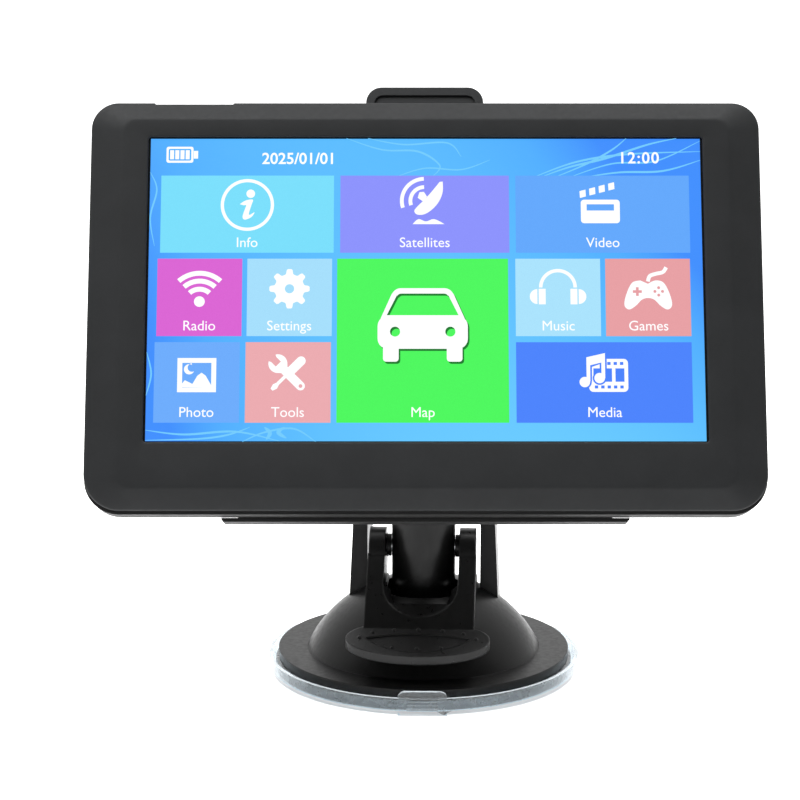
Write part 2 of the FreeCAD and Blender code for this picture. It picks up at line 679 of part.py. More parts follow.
def make_release_latch():
    """Tab above the cradle that is pulled back to let the navigator go."""
    body = new_body()
    face = sketch(body, "XZ_Plane", "-cradle_front")
    rounded(face, "-tab_half", "tab_half", "tab_root - 1", "tab_top", ("0.8", "0.8", "4.5", "4.5"))
    pad(body, face, "cradle_thick", backwards=True)
    panel = sketch(body, "XZ_Plane", "-cradle_front")
    rounded(panel, "-tab_half + 2.4", "tab_half - 2.4", "56.4", "tab_top - 2.4", ("0.8", "0.8", "2.4", "2.4"))
    pocket(body, panel, "0.6")
    hook = sketch(body, "YZ_Plane")
    polygon(hook, [("cradle_front + 0.5", "53.9"), ("cradle_front + 0.5", "55.6"), ("14.2", "55.6"),
                   ("14.2", "54.5"), ("14.9", "53.9")])
    pad(body, hook, "20", symmetric=True)
    eye = sketch(body, "YZ_Plane")
    circle(eye, "1.9", "cradle_front + cradle_thick + 0.3", "tab_root")
    pad(body, eye, "2 * tab_half - 6", symmetric=True)
    bore = sketch(body, "YZ_Plane")
    circle(bore, "0.85", "cradle_front + cradle_thick + 0.3", "tab_root")
    pocket(body, bore, "2 * tab_half + 4", symmetric=True)
    finish_part(body, "release_latch", on_unit)
    hinge = new_body()
    end = sketch(hinge, "YZ_Plane")
    circle(end, "0.8", "cradle_front + cradle_thick + 0.3", "tab_root")
    pad(hinge, end, "2 * tab_half + 6", symmetric=True)
    finish_part(hinge, "latch_pin", on_unit)


def make_mount_plate():
    """Plate with four hooked claws that hangs the cradle on the ball stud."""
    body = new_body()
    face = sketch(body, "XZ_Plane", "-mount_plate_front")
    rounded(face, "-22", "22", "-15", "15", ("4",) * 4)
    pad(body, face, "mount_plate_thick", backwards=True)
    stems = sketch(body, "XZ_Plane", "-mount_plate_front")
    hooks = sketch(body, "XZ_Plane", "-cradle_front - 1.1")
    for across in (-14, 14):
        for up in (-9, 9):
            rounded(stems, f"{across} - 3", f"{across} + 3", f"{up} - 1.3", f"{up} + 1.3", ("0.3",) * 4)
            rounded(hooks, f"{across} - 3", f"{across} + 3", f"{up} - 1.3", f"{up} + 3.2", ("0.3",) * 4)
    pad(body, stems, "mount_plate_front - cradle_front - 1.1")
    pad(body, hooks, "0.9")
    well = sketch(body, "XZ_Plane", "-mount_plate_front")
    circle(well, "3.6")
    pocket(body, well, "1.3")
    hole = sketch(body, "XZ_Plane", "-mount_plate_front")
    circle(hole, "1.8")
    pocket(body, hole, "mount_plate_thick + 1")
    finish_part(body, "mount_plate", on_unit)


def make_ball_joint():
    """Ball stud with its screw, the friction cup round the ball, and the ring nut over both."""
    plate_back = "mount_plate_front + mount_plate_thick"
    centre = ("0", "ball_back", "0")
    neck = f"ball_back - ({plate_back}) - 0.1"
    stud = cut(fuse(sphere("ball_radius", centre),
                    rod("4", neck, ("0", f"{plate_back} + 0.1", "0"), "y"),
                    taper("8", "4", "2.4", ("0", f"{plate_back} + 0.1", "0"), "y")),
               rod("1.45", "11", ("0", plate_back, "0"), "y"))
    finish_part(stud, "ball_stud", on_unit)
    head_front = "mount_plate_front + 0.1"
    screw = fuse(rod("3.2", "1.1", ("0", head_front, "0"), "y"),
                 rod("1.4", "11", ("0", head_front, "0"), "y"))
    finish_part(screw, "plate_screw", on_unit)
    cup = cut(sphere("cup_outer", centre), sphere("cup_inner", centre),
              taper("cup_outer * 1.24", "0.01", "cup_outer * 1.2",
                    ("0", "ball_back - cup_outer * 1.2", "0"), "y"),
              rod("3", "cup_outer + 1", centre, "y"))
    finish_part(cup, "friction_cup", on_unit)
    ring = fuse(rod("collar_radius", "14", ("0", "ball_back - 7", "0"), "y"),
                taper("collar_radius - 1.5", "collar_radius", "1.5", ("0", "ball_back - 8.5", "0"), "y"))
    ridges = [rod("1.1", "12", (f"(collar_radius + 0.2) * cos({angle})", "ball_back - 6",
                                f"(collar_radius + 0.2) * sin({angle})"), "y")
              for angle in range(0, 360, 30)]
    collar = cut(fuse(ring, *ridges),
                 rod("thread_radius + 0.1", "20", ("0", "ball_back - 4.3", "0"), "y"),
                 sphere("socket_inner + 0.2", centre),
                 taper("11.6", "8.3", "2.4", ("0", "ball_back - 8.6", "0"), "y"))
    finish_part(collar, "locking_collar", on_unit)


def make_arm():
    """Arm from the tilt hinge to the socket behind the ball."""
    centre_y = "(screen_back + ball_back * cos(lean))"
    centre_z = "(screen_high - ball_back * sin(lean))"
    centre = ("0", centre_y, centre_z)
    neck = rod("thread_radius", "17", ("0", "ball_back - 4", "0"), "y")
    flare = rod("thread_radius + 1", "5.5", ("0", "ball_back + 7.5", "0"), "y")
    head = fuse(neck, flare)
    on_unit(head)
    beam = new_body()
    side = sketch(beam, "YZ_Plane")
    polygon(side, [("hinge_back - 6.5", "hinge_high - 1"), ("hinge_back + 6.5", "hinge_high + 1"),
                   (f"{centre_y} + 10", f"{centre_z} - 4"), (f"{centre_y} + 3", f"{centre_z} - 11")])
    pad(beam, side, "15", symmetric=True)
    barrel = rod("hinge_radius - 1", "2 * barrel_half", ("-barrel_half", "hinge_back", "hinge_high"), "x")
    bore = rod("bolt_radius + 0.1", "60", ("-30", "hinge_back", "hinge_high"), "x")
    leg = cut(fuse(beam, barrel), bore)
    on_mount(leg)
    ball_room = sphere("socket_inner", centre)
    mouth = cut(rod("socket_inner", "10", ("0", "ball_back - 10", "0"), "y"),
                rod("socket_inner + 1", "2", ("0", "ball_back - 11", "0"), "y"))
    on_unit(mouth)
    finish_part(cut(fuse(head, leg), ball_room, mouth), "arm")


def make_tilt_hinge():
    """Bolt, knob, nut and washers that clamp the arm between the uprights."""
    axis = ("hinge_back", "hinge_high")
    bolt = rod("bolt_radius", "2 * boss_face + 11", ("-boss_face - 5", *axis), "x")
    finish_part(group(bolt), "tilt_bolt", on_mount)
    knob_start = "boss_face + 0.1"
    core = rod("knob_radius - 1.6", "knob_thick", (knob_start, *axis), "x")
    lobes = [rod("2.4", "knob_thick", (knob_start, f"hinge_back + (knob_radius - 2.4) * cos({angle})",
                                       f"hinge_high + (knob_radius - 2.4) * sin({angle})"), "x")
             for angle in range(0, 360, 60)]
    knob = cut(fuse(core, *lobes), rod("bolt_radius", "20", ("boss_face - 10", *axis), "x"))
    finish_part(knob, "tilt_knob", on_mount)
    nut = new_body()
    face = sketch(nut, "YZ_Plane", "-boss_face - 0.05 - nut_thick")
    corners = [(f"hinge_back + nut_radius * cos({angle})", f"hinge_high + nut_radius * sin({angle})")
               for angle in range(0, 360, 60)]
    polygon(face, corners)
    pad(nut, face, "nut_thick")
    hole = sketch(nut, "YZ_Plane", "-boss_face - 1 - nut_thick")
    circle(hole, "bolt_radius + 0.05", *axis)
    pocket(nut, hole, "nut_thick + 2", backwards=True)
    finish_part(nut, "tilt_nut", on_mount)
    washers = [cut(rod("hinge_radius - 1.5", "0.5", (start, *axis), "x"),
                   rod("bolt_radius + 0.1", "2", (f"{start} - 0.5", *axis), "x"))
               for start in ("barrel_half + 0.05", "-barrel_half - 0.55")]
    finish_part(group(*washers), "friction_washers", on_mount)


def make_base_housing():
    """Dome on its flange, with two uprights for the tilt hinge and rests for the lever's cams."""
    centre = ("0", "0", "dome_centre")
    ball = common(sphere("dome_radius", centre), rod("flange_radius", "60", ("0", "0", "pad_top")))
    flange = rod("flange_radius", "flange_top - pad_top", ("0", "0", "pad_top"))
    side = new_body()
    blank = sketch(side, "YZ_Plane")
    polygon(blank, [("0", "upright_low"), ("25", "upright_low"), ("hinge_back + hinge_radius", "hinge_high"),
                    ("hinge_back - hinge_radius", "hinge_high")])
    pad(side, blank, "60", symmetric=True)
    crown = rod("hinge_radius", "60", ("-30", "hinge_back", "hinge_high"), "x")
    front = new_body()
    spread = sketch(front, "XZ_Plane")
    top = "hinge_high + hinge_radius + 0.1"
    for hand in ("", "-"):
        polygon(spread, [(f"{hand}upright_inner", "upright_low"), (f"{hand}upright_foot", "upright_low"),
                         (f"{hand}upright_head", top), (f"{hand}upright_inner", top)])
    pad(front, spread, "100", symmetric=True)
    uprights = common(fuse(side, crown), front)
    bosses = [rod("boss_radius", "boss_face - upright_inner - 1", (start, "hinge_back", "hinge_high"), "x")
              for start in ("upright_inner + 1", "-boss_face")]
    spacers = [rod("hinge_radius - 1.5", "upright_inner - barrel_half + 0.4",
                   (start, "hinge_back", "hinge_high"), "x")
               for start in ("barrel_half + 0.6", "-upright_inner - 1")]
    rests = [block(("5.2", "10", "cam_rest - 18"), (start, "-5", "18"))
             for start in ("ear_inner - 0.2", "-ear_outer - 0.2")]
    inside = common(sphere("dome_radius - dome_wall", centre), rod("60", "60", ("0", "0", "pad_top - 1")))
    hinge_bore = rod("bolt_radius + 0.1", "80", ("-40", "hinge_back", "hinge_high"), "x")
    stem_bore = rod("stem_radius + 0.1", "60")
    guide = rod("guide_radius", "dome_radius + dome_centre - 2 - guide_low", ("0", "0", "guide_low"))
    well = common(rod("well_radius", "20", ("0", "0", "well_floor")),
                  block(("2 * well_half", "well_radius + 5", "20"),
                        ("-well_half", "-well_radius - 5", "well_floor")))
    shell = cut(fuse(ball, flange, uprights, *bosses, *spacers, *rests), inside)
    finish_part(cut(fuse(shell, guide), hinge_bore, stem_bore, well), "base_housing", on_mount)


def make_plunger():
    """Stem that carries the lever pin and pulls the suction pad up, its pin and its return spring."""
    foot = rod("16", "2.4", ("0", "0", "foot_low"))
    stem = rod("stem_radius", "stem_top - foot_low", ("0", "0", "foot_low"))
    head = taper("stem_radius", "stem_radius - 1", "1", ("0", "0", "stem_top"))
    plunger = cut(fuse(foot, stem, head),
                  rod("pin_radius + 0.02", "40", ("-20", "0", "pin_high"), "x"))
    finish_part(plunger, "plunger", on_mount)
    pin = rod("pin_radius", "2 * ear_outer", ("-ear_outer", "0", "pin_high"), "x")
    finish_part(group(pin), "lever_pin", on_mount)
    bushes = [cut(rod("3.4", "ear_inner - stem_radius - 0.2", (start, "0", "pin_high"), "x"),
                  rod("pin_radius + 0.05", "4", (f"{start} - 1", "0", "pin_high"), "x"))
              for start in ("stem_radius + 0.1", "-ear_inner + 0.1")]
    finish_part(group(*bushes), "lever_bushes", on_mount)
    spine = doc.addObject("Part::Helix", "Coils")
    bind(spine, "Pitch", "spring_tall / 4")
    bind(spine, "Height", "spring_tall")
    bind(spine, "Radius", "stem_radius + 2.2")
    spine.SegmentLength = 1
    wire = doc.addObject("Part::Circle", "Wire")
    bind(wire, "Radius", "spring_wire")
    place(wire, ("stem_radius + 2.2", "0", "0"), (1, 0, 0), "90")
    spring = doc.addObject("Part::Sweep", "Spring")
    spring.Sections = [wire]
    spring.Spine = (spine, [])
    spring.Solid = True
    spring.Frenet = True
    place(spring, ("0", "0", "foot_low + 2.4 + spring_wire"))
    finish_part(spring, "release_spring")


def thumb_pad():
    """Oval plate with a scoop and grip dots, tilted at the end of the lever."""
    scoop = common(rod("scoop_back_radius", "2", ("0", "scoop_back - scoop_back_radius", "-scoop_deep")),
                   rod("scoop_front_radius", "2", ("0", "scoop_front_radius - scoop_front", "-scoop_deep")))
    plate = cut(oval("thumb_long", "thumb_wide", "thumb_thick"), scoop)
    dots = [rod("dot_radius", "1.4", (str(across), str(back), "-1")) for across, back in BACK_DOTS]
    dots += [rod("dot_radius", "1.4", (str(across), str(back), "-1 - scoop_deep"))
             for across, back in SCOOP_DOTS]
    pad_solid = fuse(plate, *dots)
    place(pad_solid, ("0", "-thumb_forward", "thumb_high"), (1, 0, 0), "thumb_tilt")
    return pad_solid


def make_suction_lever():
    """Forked lever with two cams, a sloping web with a bevelled U opening, and an oval thumb pad."""
    cams = rod("cam_radius", "2 * ear_outer", ("-ear_outer", "-cam_forward", "pin_high - cam_drop"), "x")
    web = new_body()
    side = sketch(web, "YZ_Plane")
    polygon(side, [("-9.9", "37.5"), ("-27.8", "20.3"), ("-33", "14"), ("-24", "14"), ("-2", "30")])
    pad(web, side, "2 * web_half", symmetric=True)
    into_web = ((1, 0, 0), "180 + web_slope")
    mouth_centre = ("0", "-mouth_forward", "mouth_high")
    bevel = taper("ear_inner", "mouth_narrow", "3")
    place(bevel, mouth_centre, *into_web)
    round_end = rod("mouth_narrow", "20")
    place(round_end, mouth_centre, *into_web)
    between_ears = new_body()
    gap = sketch(between_ears, "YZ_Plane")
    polygon(gap, [("-mouth_forward - 8", "mouth_high + 8 * tan(90 - web_slope)"),
                  ("-mouth_forward", "mouth_high"),
                  ("-mouth_forward + 20 * sin(web_slope)", "mouth_high - 20 * cos(web_slope)"),
                  ("20", "10"), ("20", "60"), ("-mouth_forward", "60")])
    pad(between_ears, gap, "2 * ear_inner", symmetric=True)
    dome_room = sphere("dome_radius + 0.5", ("0", "0", "dome_centre"))
    bore = rod("pin_radius + 0.05", "60", ("-30", "0", "pin_high"), "x")
    lever = cut(fuse(cams, web, thumb_pad()), bevel, round_end, between_ears, dome_room, bore)
    finish_part(lever, "suction_lever", on_mount)


def make_suction_pad():
    """Soft disc: flat rim under the flange, raised centre under the plunger's foot."""
    disc = rod("pad_radius", "pad_top - cap_floor", ("0", "0", "cap_floor"))
    rise = taper("30", "15.5", "foot_low - pad_top", ("0", "0", "pad_top"))
    hollow = taper("36", "14", "2.2", ("0", "0", "cap_floor"))
    finish_part(cut(fuse(disc, rise), hollow), "suction_pad")


def make_protective_cap():
    """Clear dish that keeps the pad clean, with a ridged pull tab at the front."""
    dish = cut(taper("cap_radius", "cap_radius + cap_flare", "cap_high"),
               taper("cap_radius - cap_wall", "cap_radius + cap_flare - cap_wall", "cap_high",
                     ("0", "0", "cap_floor")))
    tab = new_body()
    face = sketch(tab, "XZ_Plane", "cap_radius - 0.4")
    rounded(face, "-7", "7", "0", "7.1", ("0.3", "0.3", "2", "2"))
    pad(tab, face, "1.2")
    ridges = [block(("9", "0.5", "0.4"), ("-4.5", "-cap_radius - 1.2", high))
              for high in (1.8, 2.8, 3.8, 4.8)]
    cap = fuse(dish, tab, *ridges)
    place(cap, axis=(0, 0, 1), angle="-cap_turn")
    finish_part(cap, "protective_cap")


make_front_bezel()
make_rear_cover()
make_screen()
make_electronics()
make_screws()
make_power_button()
make_cradle()
make_release_latch()
make_mount_plate()
make_ball_joint()
make_arm()
make_tilt_hinge()
make_base_housing()
make_plunger()
make_suction_lever()
make_suction_pad()
make_protective_cap()
doc.removeObject(sums.Name)
doc.recompute()

for item in doc.Objects:
    if "Invalid" in item.State or "Error" in item.State:
        raise ValueError(f"{item.Name} ({item.Label}) did not recompute: {item.State}")
for item in made:
    if item.Shape.isNull() or not item.Shape.isValid():
        raise ValueError(f"{item.Label} has no valid shape")

os.makedirs("parts", exist_ok=True)
for item in made:
    item.Shape.exportStep(f"parts/{item.Label}.step")
    print(f"{item.Label}: {len(item.Shape.Solids)} solid(s), {item.Shape.Volume:.0f} mm3")
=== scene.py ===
import json
import math

import bmesh
import bpy
from mathutils import Matrix, Vector


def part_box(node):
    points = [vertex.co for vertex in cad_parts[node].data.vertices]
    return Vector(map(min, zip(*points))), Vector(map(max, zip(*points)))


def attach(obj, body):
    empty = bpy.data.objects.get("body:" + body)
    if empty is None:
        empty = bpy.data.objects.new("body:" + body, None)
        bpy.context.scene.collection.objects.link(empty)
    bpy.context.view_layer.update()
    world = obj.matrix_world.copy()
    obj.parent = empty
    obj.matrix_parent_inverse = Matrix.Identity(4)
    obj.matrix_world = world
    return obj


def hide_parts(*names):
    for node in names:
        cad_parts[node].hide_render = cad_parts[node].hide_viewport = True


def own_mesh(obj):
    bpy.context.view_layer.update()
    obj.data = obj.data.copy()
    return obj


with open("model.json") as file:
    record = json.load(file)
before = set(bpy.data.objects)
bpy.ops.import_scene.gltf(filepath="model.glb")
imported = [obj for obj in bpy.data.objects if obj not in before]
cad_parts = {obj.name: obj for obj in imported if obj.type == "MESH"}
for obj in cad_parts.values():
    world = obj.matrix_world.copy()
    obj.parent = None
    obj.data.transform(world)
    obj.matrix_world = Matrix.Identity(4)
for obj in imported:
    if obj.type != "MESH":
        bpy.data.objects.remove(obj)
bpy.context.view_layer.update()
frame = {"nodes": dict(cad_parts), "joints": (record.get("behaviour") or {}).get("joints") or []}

# Portable navigator on its suction mount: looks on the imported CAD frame. Metres in the row frame.
# Pieces of the unit are drawn in millimetres in its own frame, (u, v, n): u to the right, v up the
# screen, n out of the screen, from the screen's centre in the plane of the bezel's face.

MM = 0.001
NODES = frame["nodes"]
JOINTS = {joint["name"]: joint for joint in frame["joints"]}
RIGHT = Vector((1, 0, 0))
UP = Vector(JOINTS["ball_pan"]["axis"]).normalized()
NORMAL = Vector(JOINTS["ball_roll"]["axis"]).normalized()


# ------------------------------------------------------------------ frame helpers

def span(node, axis):
    """Lowest and highest reach of a CAD node along a direction, in millimetres."""
    along = [vertex.co.dot(axis) / MM for vertex in NODES[node].data.vertices]
    return min(along), max(along)


GLASS_V = span("touch_panel", UP)
SCREEN_V = (GLASS_V[0] + GLASS_V[1]) / 2
FACE_N = span("front_bezel", NORMAL)[1]
UNIT = Matrix.Translation((UP * SCREEN_V + NORMAL * FACE_N) * MM)
UNIT = UNIT @ Matrix((RIGHT, UP, NORMAL)).transposed().to_4x4() @ Matrix.Scale(MM, 4)


def unit_span(node):
    """A node's box in the unit's frame, millimetres: (left, right), (low, high), (back, front)."""
    across = span(node, RIGHT)
    up = [value - SCREEN_V for value in span(node, UP)]
    out = [value - FACE_N for value in span(node, NORMAL)]
    return across, up, out


# ------------------------------------------------------------------ mesh helpers

def closed(mesh, gap):
    """An editable copy of a mesh, with points closer than a gap joined and its faces turned outward."""
    shape = bmesh.new()
    shape.from_mesh(mesh)
    bmesh.ops.remove_doubles(shape, verts=shape.verts, dist=gap)
    bmesh.ops.recalc_face_normals(shape, faces=shape.faces)
    return shape


def finish_mesh(name, mesh, material, body, matrix, sharp, cad=()):
    """A piece from a mesh: placed, shaded smooth except at sharp edges, and riding on a body."""
    mesh.transform(matrix)
    shape = closed(mesh, 1e-7)
    limit = math.radians(sharp)
    for face in shape.faces:
        face.smooth = True
    for edge in shape.edges:
        if len(edge.link_faces) == 2:
            edge.smooth = edge.calc_face_angle(0) < limit
    shape.to_mesh(mesh)
    shape.free()
    piece = bpy.data.objects.new(name, mesh)
    bpy.context.scene.collection.objects.link(piece)
    mesh.materials.clear()
    mesh.materials.append(material)
    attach(piece, body)
    if cad:
        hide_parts(*cad)
    return piece


def rounded_loop(left, right, low, high, radii, depth, steps=8):
    """Points round a rectangle with arcs at its corners, from lower left, anticlockwise."""
    centres = ((left + radii[0], low + radii[0], 180), (right - radii[1], low + radii[1], 270),
               (right - radii[2], high - radii[2], 0), (left + radii[3], high - radii[3], 90))
    loop = []
    for (across, up, start), radius in zip(centres, radii):
        for step in range(steps + 1):
            turn = math.radians(start + 90 * step / steps)
            loop.append(Vector((across + radius * math.cos(turn), up + radius * math.sin(turn), depth)))
    return loop


def loft(loops, capped=False):
    """A mesh of quads between rings of equal length, with both end rings filled if capped."""
    mesh = bpy.data.meshes.new("loft")
    count = len(loops[0])
    points = [point for loop in loops for point in loop]
    faces = []
    for ring in range(len(loops) - 1):
        for step in range(count):
            following = (step + 1) % count
            faces.append((ring * count + step, ring * count + following,
                          (ring + 1) * count + following, (ring + 1) * count + step))
    if capped:
        first = (len(loops) - 1) * count
        faces.append(tuple(range(count))[::-1])
        faces.append(tuple(range(first, first + count)))
    mesh.from_pydata([tuple(point) for point in points], [], faces)
    return mesh


def curve_mesh(curve, across, up, front, thick):
    """A flat curve object's mesh, moved to its place with its front at a depth."""
    holder = bpy.data.objects.new(curve.name, curve)
    bpy.context.scene.collection.objects.link(holder)
    bpy.context.view_layer.update()
    mesh = bpy.data.meshes.new_from_object(holder.evaluated_get(bpy.context.evaluated_depsgraph_get()))
    bpy.data.objects.remove(holder)
    bpy.data.curves.remove(curve)
    mesh.transform(Matrix.Translation((across, up, front - thick / 2)))
    return mesh


def flat_shape(loops, front, thick):
    """A flat plate from closed outlines (u, v); an outline inside another is a hole."""
    curve = bpy.data.curves.new("flat", "CURVE")
    curve.dimensions = "2D"
    curve.fill_mode = "BOTH"
    curve.extrude = thick / 2
    for loop in loops:
        spline = curve.splines.new("POLY")
        spline.points.add(len(loop) - 1)
        for point, (across, up) in zip(spline.points, loop):
            point.co = (across, up, 0, 1)
        spline.use_cyclic_u = True
    return curve_mesh(curve, 0, 0, front, thick)


def carve(mesh, tool):
    """What is left of one closed mesh when another is cut out of it."""
    shape = closed(mesh, 1e-6)
    shape.to_mesh(mesh)
    shape.free()
    blank = bpy.data.objects.new("blank", mesh)
    knife = bpy.data.objects.new("knife", tool)
    for item in (blank, knife):
        bpy.context.scene.collection.objects.link(item)
    step = blank.modifiers.new("cut", "BOOLEAN")
    step.operation = "DIFFERENCE"
    step.solver = "EXACT"
    step.object = knife
    graph = bpy.context.evaluated_depsgraph_get()
    result = bpy.data.meshes.new_from_object(blank.evaluated_get(graph))
    for item in (blank, knife):
        bpy.data.objects.remove(item)
    return result


CAPITAL_SHARE = 0.73


def lettering(words, height, middle, base, front, thick, bold=0.0, spacing=1.0):
    """Generic words as flat letters, centred across; height is that of a capital."""
    curve = bpy.data.curves.new("words", "FONT")
    curve.body = words
    curve.size = height / CAPITAL_SHARE
    curve.align_x = "CENTER"
    curve.extrude = thick / 2
    curve.offset = bold
    curve.space_character = spacing
    curve.resolution_u = 4
    return curve_mesh(curve, middle, base, front, thick)


# ------------------------------------------------------------------ materials

def new_material(name):
    """An empty node material with one Principled shader."""
    material = bpy.data.materials.new(name)
    material.use_nodes = True
    tree = material.node_tree
    tree.nodes.clear()
    output = tree.nodes.new("ShaderNodeOutputMaterial")
    shader = tree.nodes.new("ShaderNodeBsdfPrincipled")
    tree.links.new(shader.outputs["BSDF"], output.inputs["Surface"])
    return material, tree, shader


def noise(tree, scale, detail=3.0, rough=0.55):
    """Noise in the object's own coordinates; scale is in features per metre."""
    place = tree.nodes.new("ShaderNodeTexCoord")
    texture = tree.nodes.new("ShaderNodeTexNoise")
    texture.inputs["Scale"].default_value = scale
    texture.inputs["Detail"].default_value = detail
    texture.inputs["Roughness"].default_value = rough
    tree.links.new(place.outputs["Object"], texture.inputs["Vector"])
    return texture.outputs["Fac"]


def ramp(tree, source, stops):
    """A colour ramp over a value."""
    node = tree.nodes.new("ShaderNodeValToRGB")
    while len(node.color_ramp.elements) < len(stops):
        node.color_ramp.elements.new(0.5)
    for element, (position, colour) in zip(node.color_ramp.elements, stops):
        element.position = position
        element.color = (*colour, 1.0)
    tree.links.new(source, node.inputs["Fac"])
    return node.outputs["Color"]


def position(tree, output):
    """The X, Y and Z sockets of one of the texture coordinates."""
    place = tree.nodes.new("ShaderNodeTexCoord")
    split = tree.nodes.new("ShaderNodeSeparateXYZ")
    tree.links.new(place.outputs[output], split.inputs["Vector"])
    return split.outputs["X"], split.outputs["Y"], split.outputs["Z"]


def math_node(tree, operation, *terms):
    """A math node's result; each term is a socket or a number."""
    node = tree.nodes.new("ShaderNodeMath")
    node.operation = operation
    for slot, term in zip(node.inputs, terms):
        if isinstance(term, (int, float)):
            slot.default_value = term
        else:
            tree.links.new(term, slot)
    return node.outputs["Value"]


def map_range(tree, source, start, end, low, high):
    """A value mapped from start..end to low..high, and held at both ends."""
    node = tree.nodes.new("ShaderNodeMapRange")
    node.inputs["From Min"].default_value = start
    node.inputs["From Max"].default_value = end
    node.inputs["To Min"].default_value = low
    node.inputs["To Max"].default_value = high
    tree.links.new(source, node.inputs["Value"])
    return node.outputs["Result"]


def varied_gloss(tree, shader, scale, low, high):
    """Roughness that wanders between two values."""
    rough = map_range(tree, noise(tree, scale), 0.3, 0.7, low, high)
    tree.links.new(rough, shader.inputs["Roughness"])


GRAIN_DEPTH = 0.00002


def grain(tree, shader, scale, strength, soft=0.0):
    """Fine bump, over edges that are rounded in the shading by a small radius in metres."""
    bump = tree.nodes.new("ShaderNodeBump")
    if soft:
        edge = tree.nodes.new("ShaderNodeBevel")
        edge.samples = 6
        edge.inputs["Radius"].default_value = soft
        tree.links.new(edge.outputs["Normal"], bump.inputs["Normal"])
    bump.inputs["Strength"].default_value = strength
    bump.inputs["Distance"].default_value = GRAIN_DEPTH
    tree.links.new(noise(tree, scale, 4.0), bump.inputs["Height"])
    tree.links.new(bump.outputs["Normal"], shader.inputs["Normal"])


def moulded(name, tone, rough, texture=2600.0, strength=0.35, shine=0.3, soft=0.0003, tint=(1, 1, 1)):
    """Moulded plastic: slight mottling of tone and gloss, and a spark-eroded grain."""
    material, tree, shader = new_material(name)
    dark = tuple(tone * 0.94 * part for part in tint)
    light = tuple(tone * 1.06 * part for part in tint)
    colour = ramp(tree, noise(tree, 90.0), ((0.35, dark), (0.65, light)))
    tree.links.new(colour, shader.inputs["Base Color"])
    varied_gloss(tree, shader, 700.0, rough - 0.05, rough + 0.06)
    shader.inputs["Specular IOR Level"].default_value = shine
    grain(tree, shader, texture, strength, soft)
    return material


def metal(name, colour, rough):
    """Plated or plain metal with fine marks."""
    material, tree, shader = new_material(name)
    dark = tuple(part * 0.85 for part in colour)
    tree.links.new(ramp(tree, noise(tree, 400.0), ((0.3, dark), (0.7, colour))), shader.inputs["Base Color"])
    varied_gloss(tree, shader, 1500.0, rough * 0.8, rough * 1.25)
    shader.inputs["Metallic"].default_value = 1.0
    grain(tree, shader, 3000.0, 0.2)
    return material


def clear(name, colour, rough, weight):
    """Clear or milky plastic that lets light through."""
    material, tree, shader = new_material(name)
    paler = tuple(min(1.0, part * 1.05) for part in colour)
    cloudy = ramp(tree, noise(tree, 60.0), ((0.35, colour), (0.65, paler)))
    tree.links.new(cloudy, shader.inputs["Base Color"])
    varied_gloss(tree, shader, 300.0, rough, rough + 0.05)
    shader.inputs["IOR"].default_value = 1.49
    shader.inputs["Transmission Weight"].default_value = weight
    grain(tree, shader, 500.0, 0.1)
    return material


def glow_under_film(tree, shader, colour, power):
    """The display's own light, from a colour socket, under a dark glossy film."""
    tree.links.new(colour, shader.inputs["Emission Color"])
    shader.inputs["Emission Strength"].default_value = power
    shader.inputs["Base Color"].default_value = (0.005, 0.005, 0.006, 1)
    shader.inputs["Specular IOR Level"].default_value = 0.2
    varied_gloss(tree, shader, 500.0, 0.28, 0.34)


def lit(name, colour, power=1.0, shade=0.06):
    """A lit area of the display: one colour with a faint fine speckle."""
    material, tree, shader = new_material(name)
    low = tuple(part * (1 - shade) for part in colour)
    high = tuple(min(1.0, part * (1 + shade)) for part in colour)
    speckle = ramp(tree, noise(tree, 9000.0, 2.0), ((0.3, low), (0.7, high)))
    glow_under_film(tree, shader, speckle, power)
    return material


def srgb(red, green, blue):
    """Linear colour from screen values of 0 to 255."""
    parts = []
    for value in (red, green, blue):
        value /= 255
        parts.append(value / 12.92 if value <= 0.04045 else ((value + 0.055) / 1.055) ** 2.4)
    return tuple(parts)


BEZEL = moulded("bezel_plastic_fine", 0.0168, 0.55, 3200.0, 0.30, 0.16, tint=(0.95, 1.0, 1.05))
SHELL = moulded("shell_plastic_fine", 0.018, 0.54, 3000.0, 0.32, 0.18)
CRADLE = moulded("cradle_plastic_matte", 0.015, 0.52, 2400.0, 0.35, 0.2)
LATCH = moulded("latch_plastic_matte", 0.026, 0.50, 2400.0, 0.35, 0.25, tint=(0.95, 1.0, 1.05))
MOUNT = moulded("mount_plastic_satin", 0.008, 0.36, 1800.0, 0.22, 0.25)
DOME = moulded("dome_plastic_satin", 0.007, 0.34, 1500.0, 0.18, 0.16)
LEVER = moulded("lever_plastic_satin", 0.0075, 0.32, 1800.0, 0.22, 0.28, 0.0007)
KEY = moulded("key_plastic_satin", 0.014, 0.35, 2500.0, 0.2, 0.4, 0.0001)
FOAM = moulded("gasket_foam", 0.010, 0.9, 1500.0, 0.8, 0.1, 0.0)
NYLON = moulded("nylon_natural", 0.55, 0.45, 900.0, 0.2, tint=(1, 0.99, 0.94))
STEEL = metal("screw_steel_plated", (0.55, 0.56, 0.58), 0.35)
TIN = metal("shield_tin", (0.70, 0.71, 0.72), 0.4)
CHROME = metal("port_metal_plated", (0.75, 0.75, 0.76), 0.22)
BOARD = moulded("board_mask", 0.10, 0.35, 1200.0, 0.25, tint=(0.15, 1.0, 0.45))
CERAMIC = moulded("antenna_ceramic_plain", 0.55, 0.6, 1200.0, 0.3, tint=(1, 0.92, 0.72))
POUCH = moulded("battery_pouch", 0.4, 0.4, 500.0, 0.3, tint=(1, 1, 1.03))
AMBER = moulded("flex_film", 0.35, 0.3, 800.0, 0.1, tint=(1, 0.5, 0.1))
GEL = clear("pad_gel_milky", (0.72, 0.78, 0.82), 0.25, 0.75)
CLEAR = clear("cap_clear_blue", (0.72, 0.80, 0.85), 0.06, 1.0)
